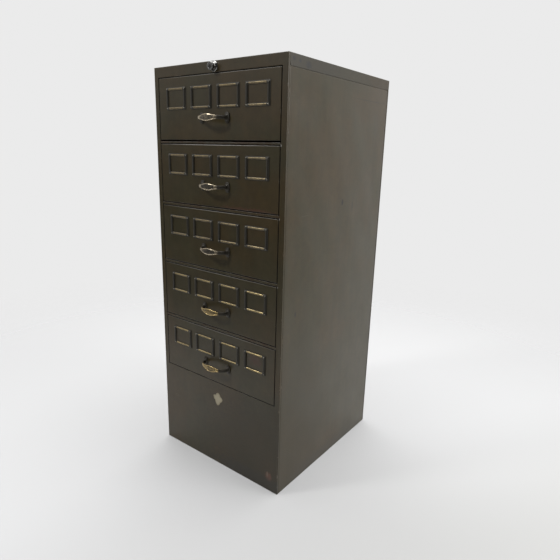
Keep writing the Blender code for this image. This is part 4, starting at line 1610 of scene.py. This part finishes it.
@dataclass
class Studio:
    """Pale floor, soft light and the camera."""

    lens: float = 30.62
    camera_at: tuple[float, float, float] = (1.0483, -1.3413, 1.0762)
    azimuth: float = 37.094
    pitch: float = 15.149
    roll: float = 1.484
    floor_colour: Colour = (0.52, 0.52, 0.525)
    floor_shaded_side: Colour = (0.385, 0.385, 0.375)
    surround: float = 1.08
    right_dimming: float = 0.86
    backdrop: float = 0.83
    room: float = 0.07
    room_wall: float = 0.54
    room_floor: float = 0.55
    floor_cover: float = 0.70
    light_aim: tuple[float, float, float] = (0.0, 0.0, 0.8)
    floor_side: tuple[float, float, float] = (0.7, -0.4, 0.0)
    wall_direction: tuple[float, float, float] = (-0.69, -0.69, 0.26)
    sensor_width: float = 36.0
    floor_radius: float = 9.0

    def build(self) -> None:
        """Makes the floor, the lights and the camera."""
        self._floor()
        self._world()
        self._lights()
        self._camera()

    def _floor(self) -> None:
        """A pale round floor that fades out behind the cabinet, and sooner in front of it; its colour darkens
        towards the right front as painted shade.
        """
        bpy.ops.mesh.primitive_circle_add(
            vertices=96, radius=self.floor_radius, fill_type="NGON", location=(0, 0, -0.0005)
        )
        floor = bpy.context.object
        floor.name = "studio_floor"
        coat = Coat("pale_floor")
        # Painted shade: the floor's colour darkens towards the right front.
        aside = coat.vector("DOT_PRODUCT", coat.position, self.floor_side)
        tone = coat.mix(coat.step(aside, 0.15, 0.75), self.floor_colour, self.floor_shaded_side)
        near = coat.minus(1.0, coat.step(coat.vector("LENGTH", coat.position), 1.0, 2.7))
        forward = coat.node("ShaderNodeSeparateXYZ", {0: coat.position}).outputs["Y"]
        cover = coat.times(coat.times(near, self.floor_cover), coat.step(forward, -1.75, -0.95))
        coat.shade({"Base Color": tone, "Roughness": 0.75, "Alpha": cover})
        floor.data.materials.append(coat.material)

    def _world(self) -> None:
        """A soft white surround behind, and a dark room in front with one paler wall at the left."""
        world = bpy.data.worlds.new("soft_surround")
        world.use_nodes = True
        wiring = Wiring(world.node_tree)
        background = world.node_tree.nodes["Background"]
        direction = wiring.node("ShaderNodeTexCoord").outputs["Generated"]
        parts = wiring.node("ShaderNodeSeparateXYZ", {0: direction})
        behind = wiring.step(parts.outputs["Y"], -0.5, 0.3)
        wall = wiring.step(wiring.vector("DOT_PRODUCT", direction, self.wall_direction), 0.80, 0.97)
        wall = wiring.times(wall, wiring.step(parts.outputs["Z"], -0.02, 0.16))
        room = wiring.math("MULTIPLY_ADD", wall, self.room_wall, self.room)
        below = wiring.step(parts.outputs["Z"], -0.28, -0.52)
        room = wiring.add(room, wiring.times(below, self.room_floor))
        right = wiring.step(parts.outputs["X"], 0.43, 0.63)
        around = wiring.minus(self.surround, wiring.times(right, self.right_dimming))
        glow = wiring.node("ShaderNodeMix", {0: behind, 2: room, 3: around}).outputs[0]
        seen = wiring.node("ShaderNodeLightPath").outputs["Is Camera Ray"]
        strength = wiring.node("ShaderNodeMix", {0: seen, 2: glow, 3: self.backdrop}).outputs[0]
        background.inputs["Color"].default_value = (1.0, 1.0, 1.0, 1.0)
        wiring.feed(background.inputs["Strength"], strength)
        bpy.context.scene.world = world

    def _lights(self) -> None:
        """A wide soft light overhead, one at the right, and a smaller one high at the front left."""
        lights = (
            ("overhead_light", (-0.3, 0.5, 4.5), 3.6, 190.0),
            ("right_light", (3.2, 0.9, 1.9), 2.2, 75.0),
            ("front_left_light", (-3.3, -4.6, 5.4), 1.3, 188.0),
        )
        for name, place, size, power in lights:
            data = bpy.data.lights.new(name, "AREA")
            data.shape, data.size, data.energy = "DISK", size, power
            light = bpy.data.objects.new(name, data)
            aim = Vector(place) - Vector(self.light_aim)
            light.location = place
            light.rotation_euler = aim.to_track_quat("Z", "Y").to_euler()
            bpy.context.scene.collection.objects.link(light)

    def _camera(self) -> None:
        """The camera looks down at the front and the right side."""
        data = bpy.data.cameras.new("camera")
        data.lens, data.sensor_width = self.lens, self.sensor_width
        camera = bpy.data.objects.new("camera", data)
        bpy.context.scene.collection.objects.link(camera)
        turn = (
            Matrix.Rotation(math.radians(self.azimuth), 4, "Z")
            @ Matrix.Rotation(math.radians(90.0 - self.pitch), 4, "X")
            @ Matrix.Rotation(math.radians(self.roll), 4, "Z")
        )
        camera.matrix_world = Matrix.Translation(self.camera_at) @ turn
        bpy.context.scene.camera = camera
        bpy.context.scene.view_settings.view_transform = "Standard"


def main() -> None:
    """Builds the cabinet's looks and its studio."""
    logging.basicConfig(level=logging.INFO, format="%(message)s")
    finishes = Finishes()
    Carcass(finishes).build()
    for number in range(1, DRAWERS + 1):
        Drawer(finishes, number).build()
        dress(f"runner_frame_{number}", finishes.zinc)
        dress(f"slide_cradle_{number}", finishes.zinc)
    PushLock(finishes).build()
    add_sticker(finishes)
    Studio().build()


if __name__ == "__main__":
    main()
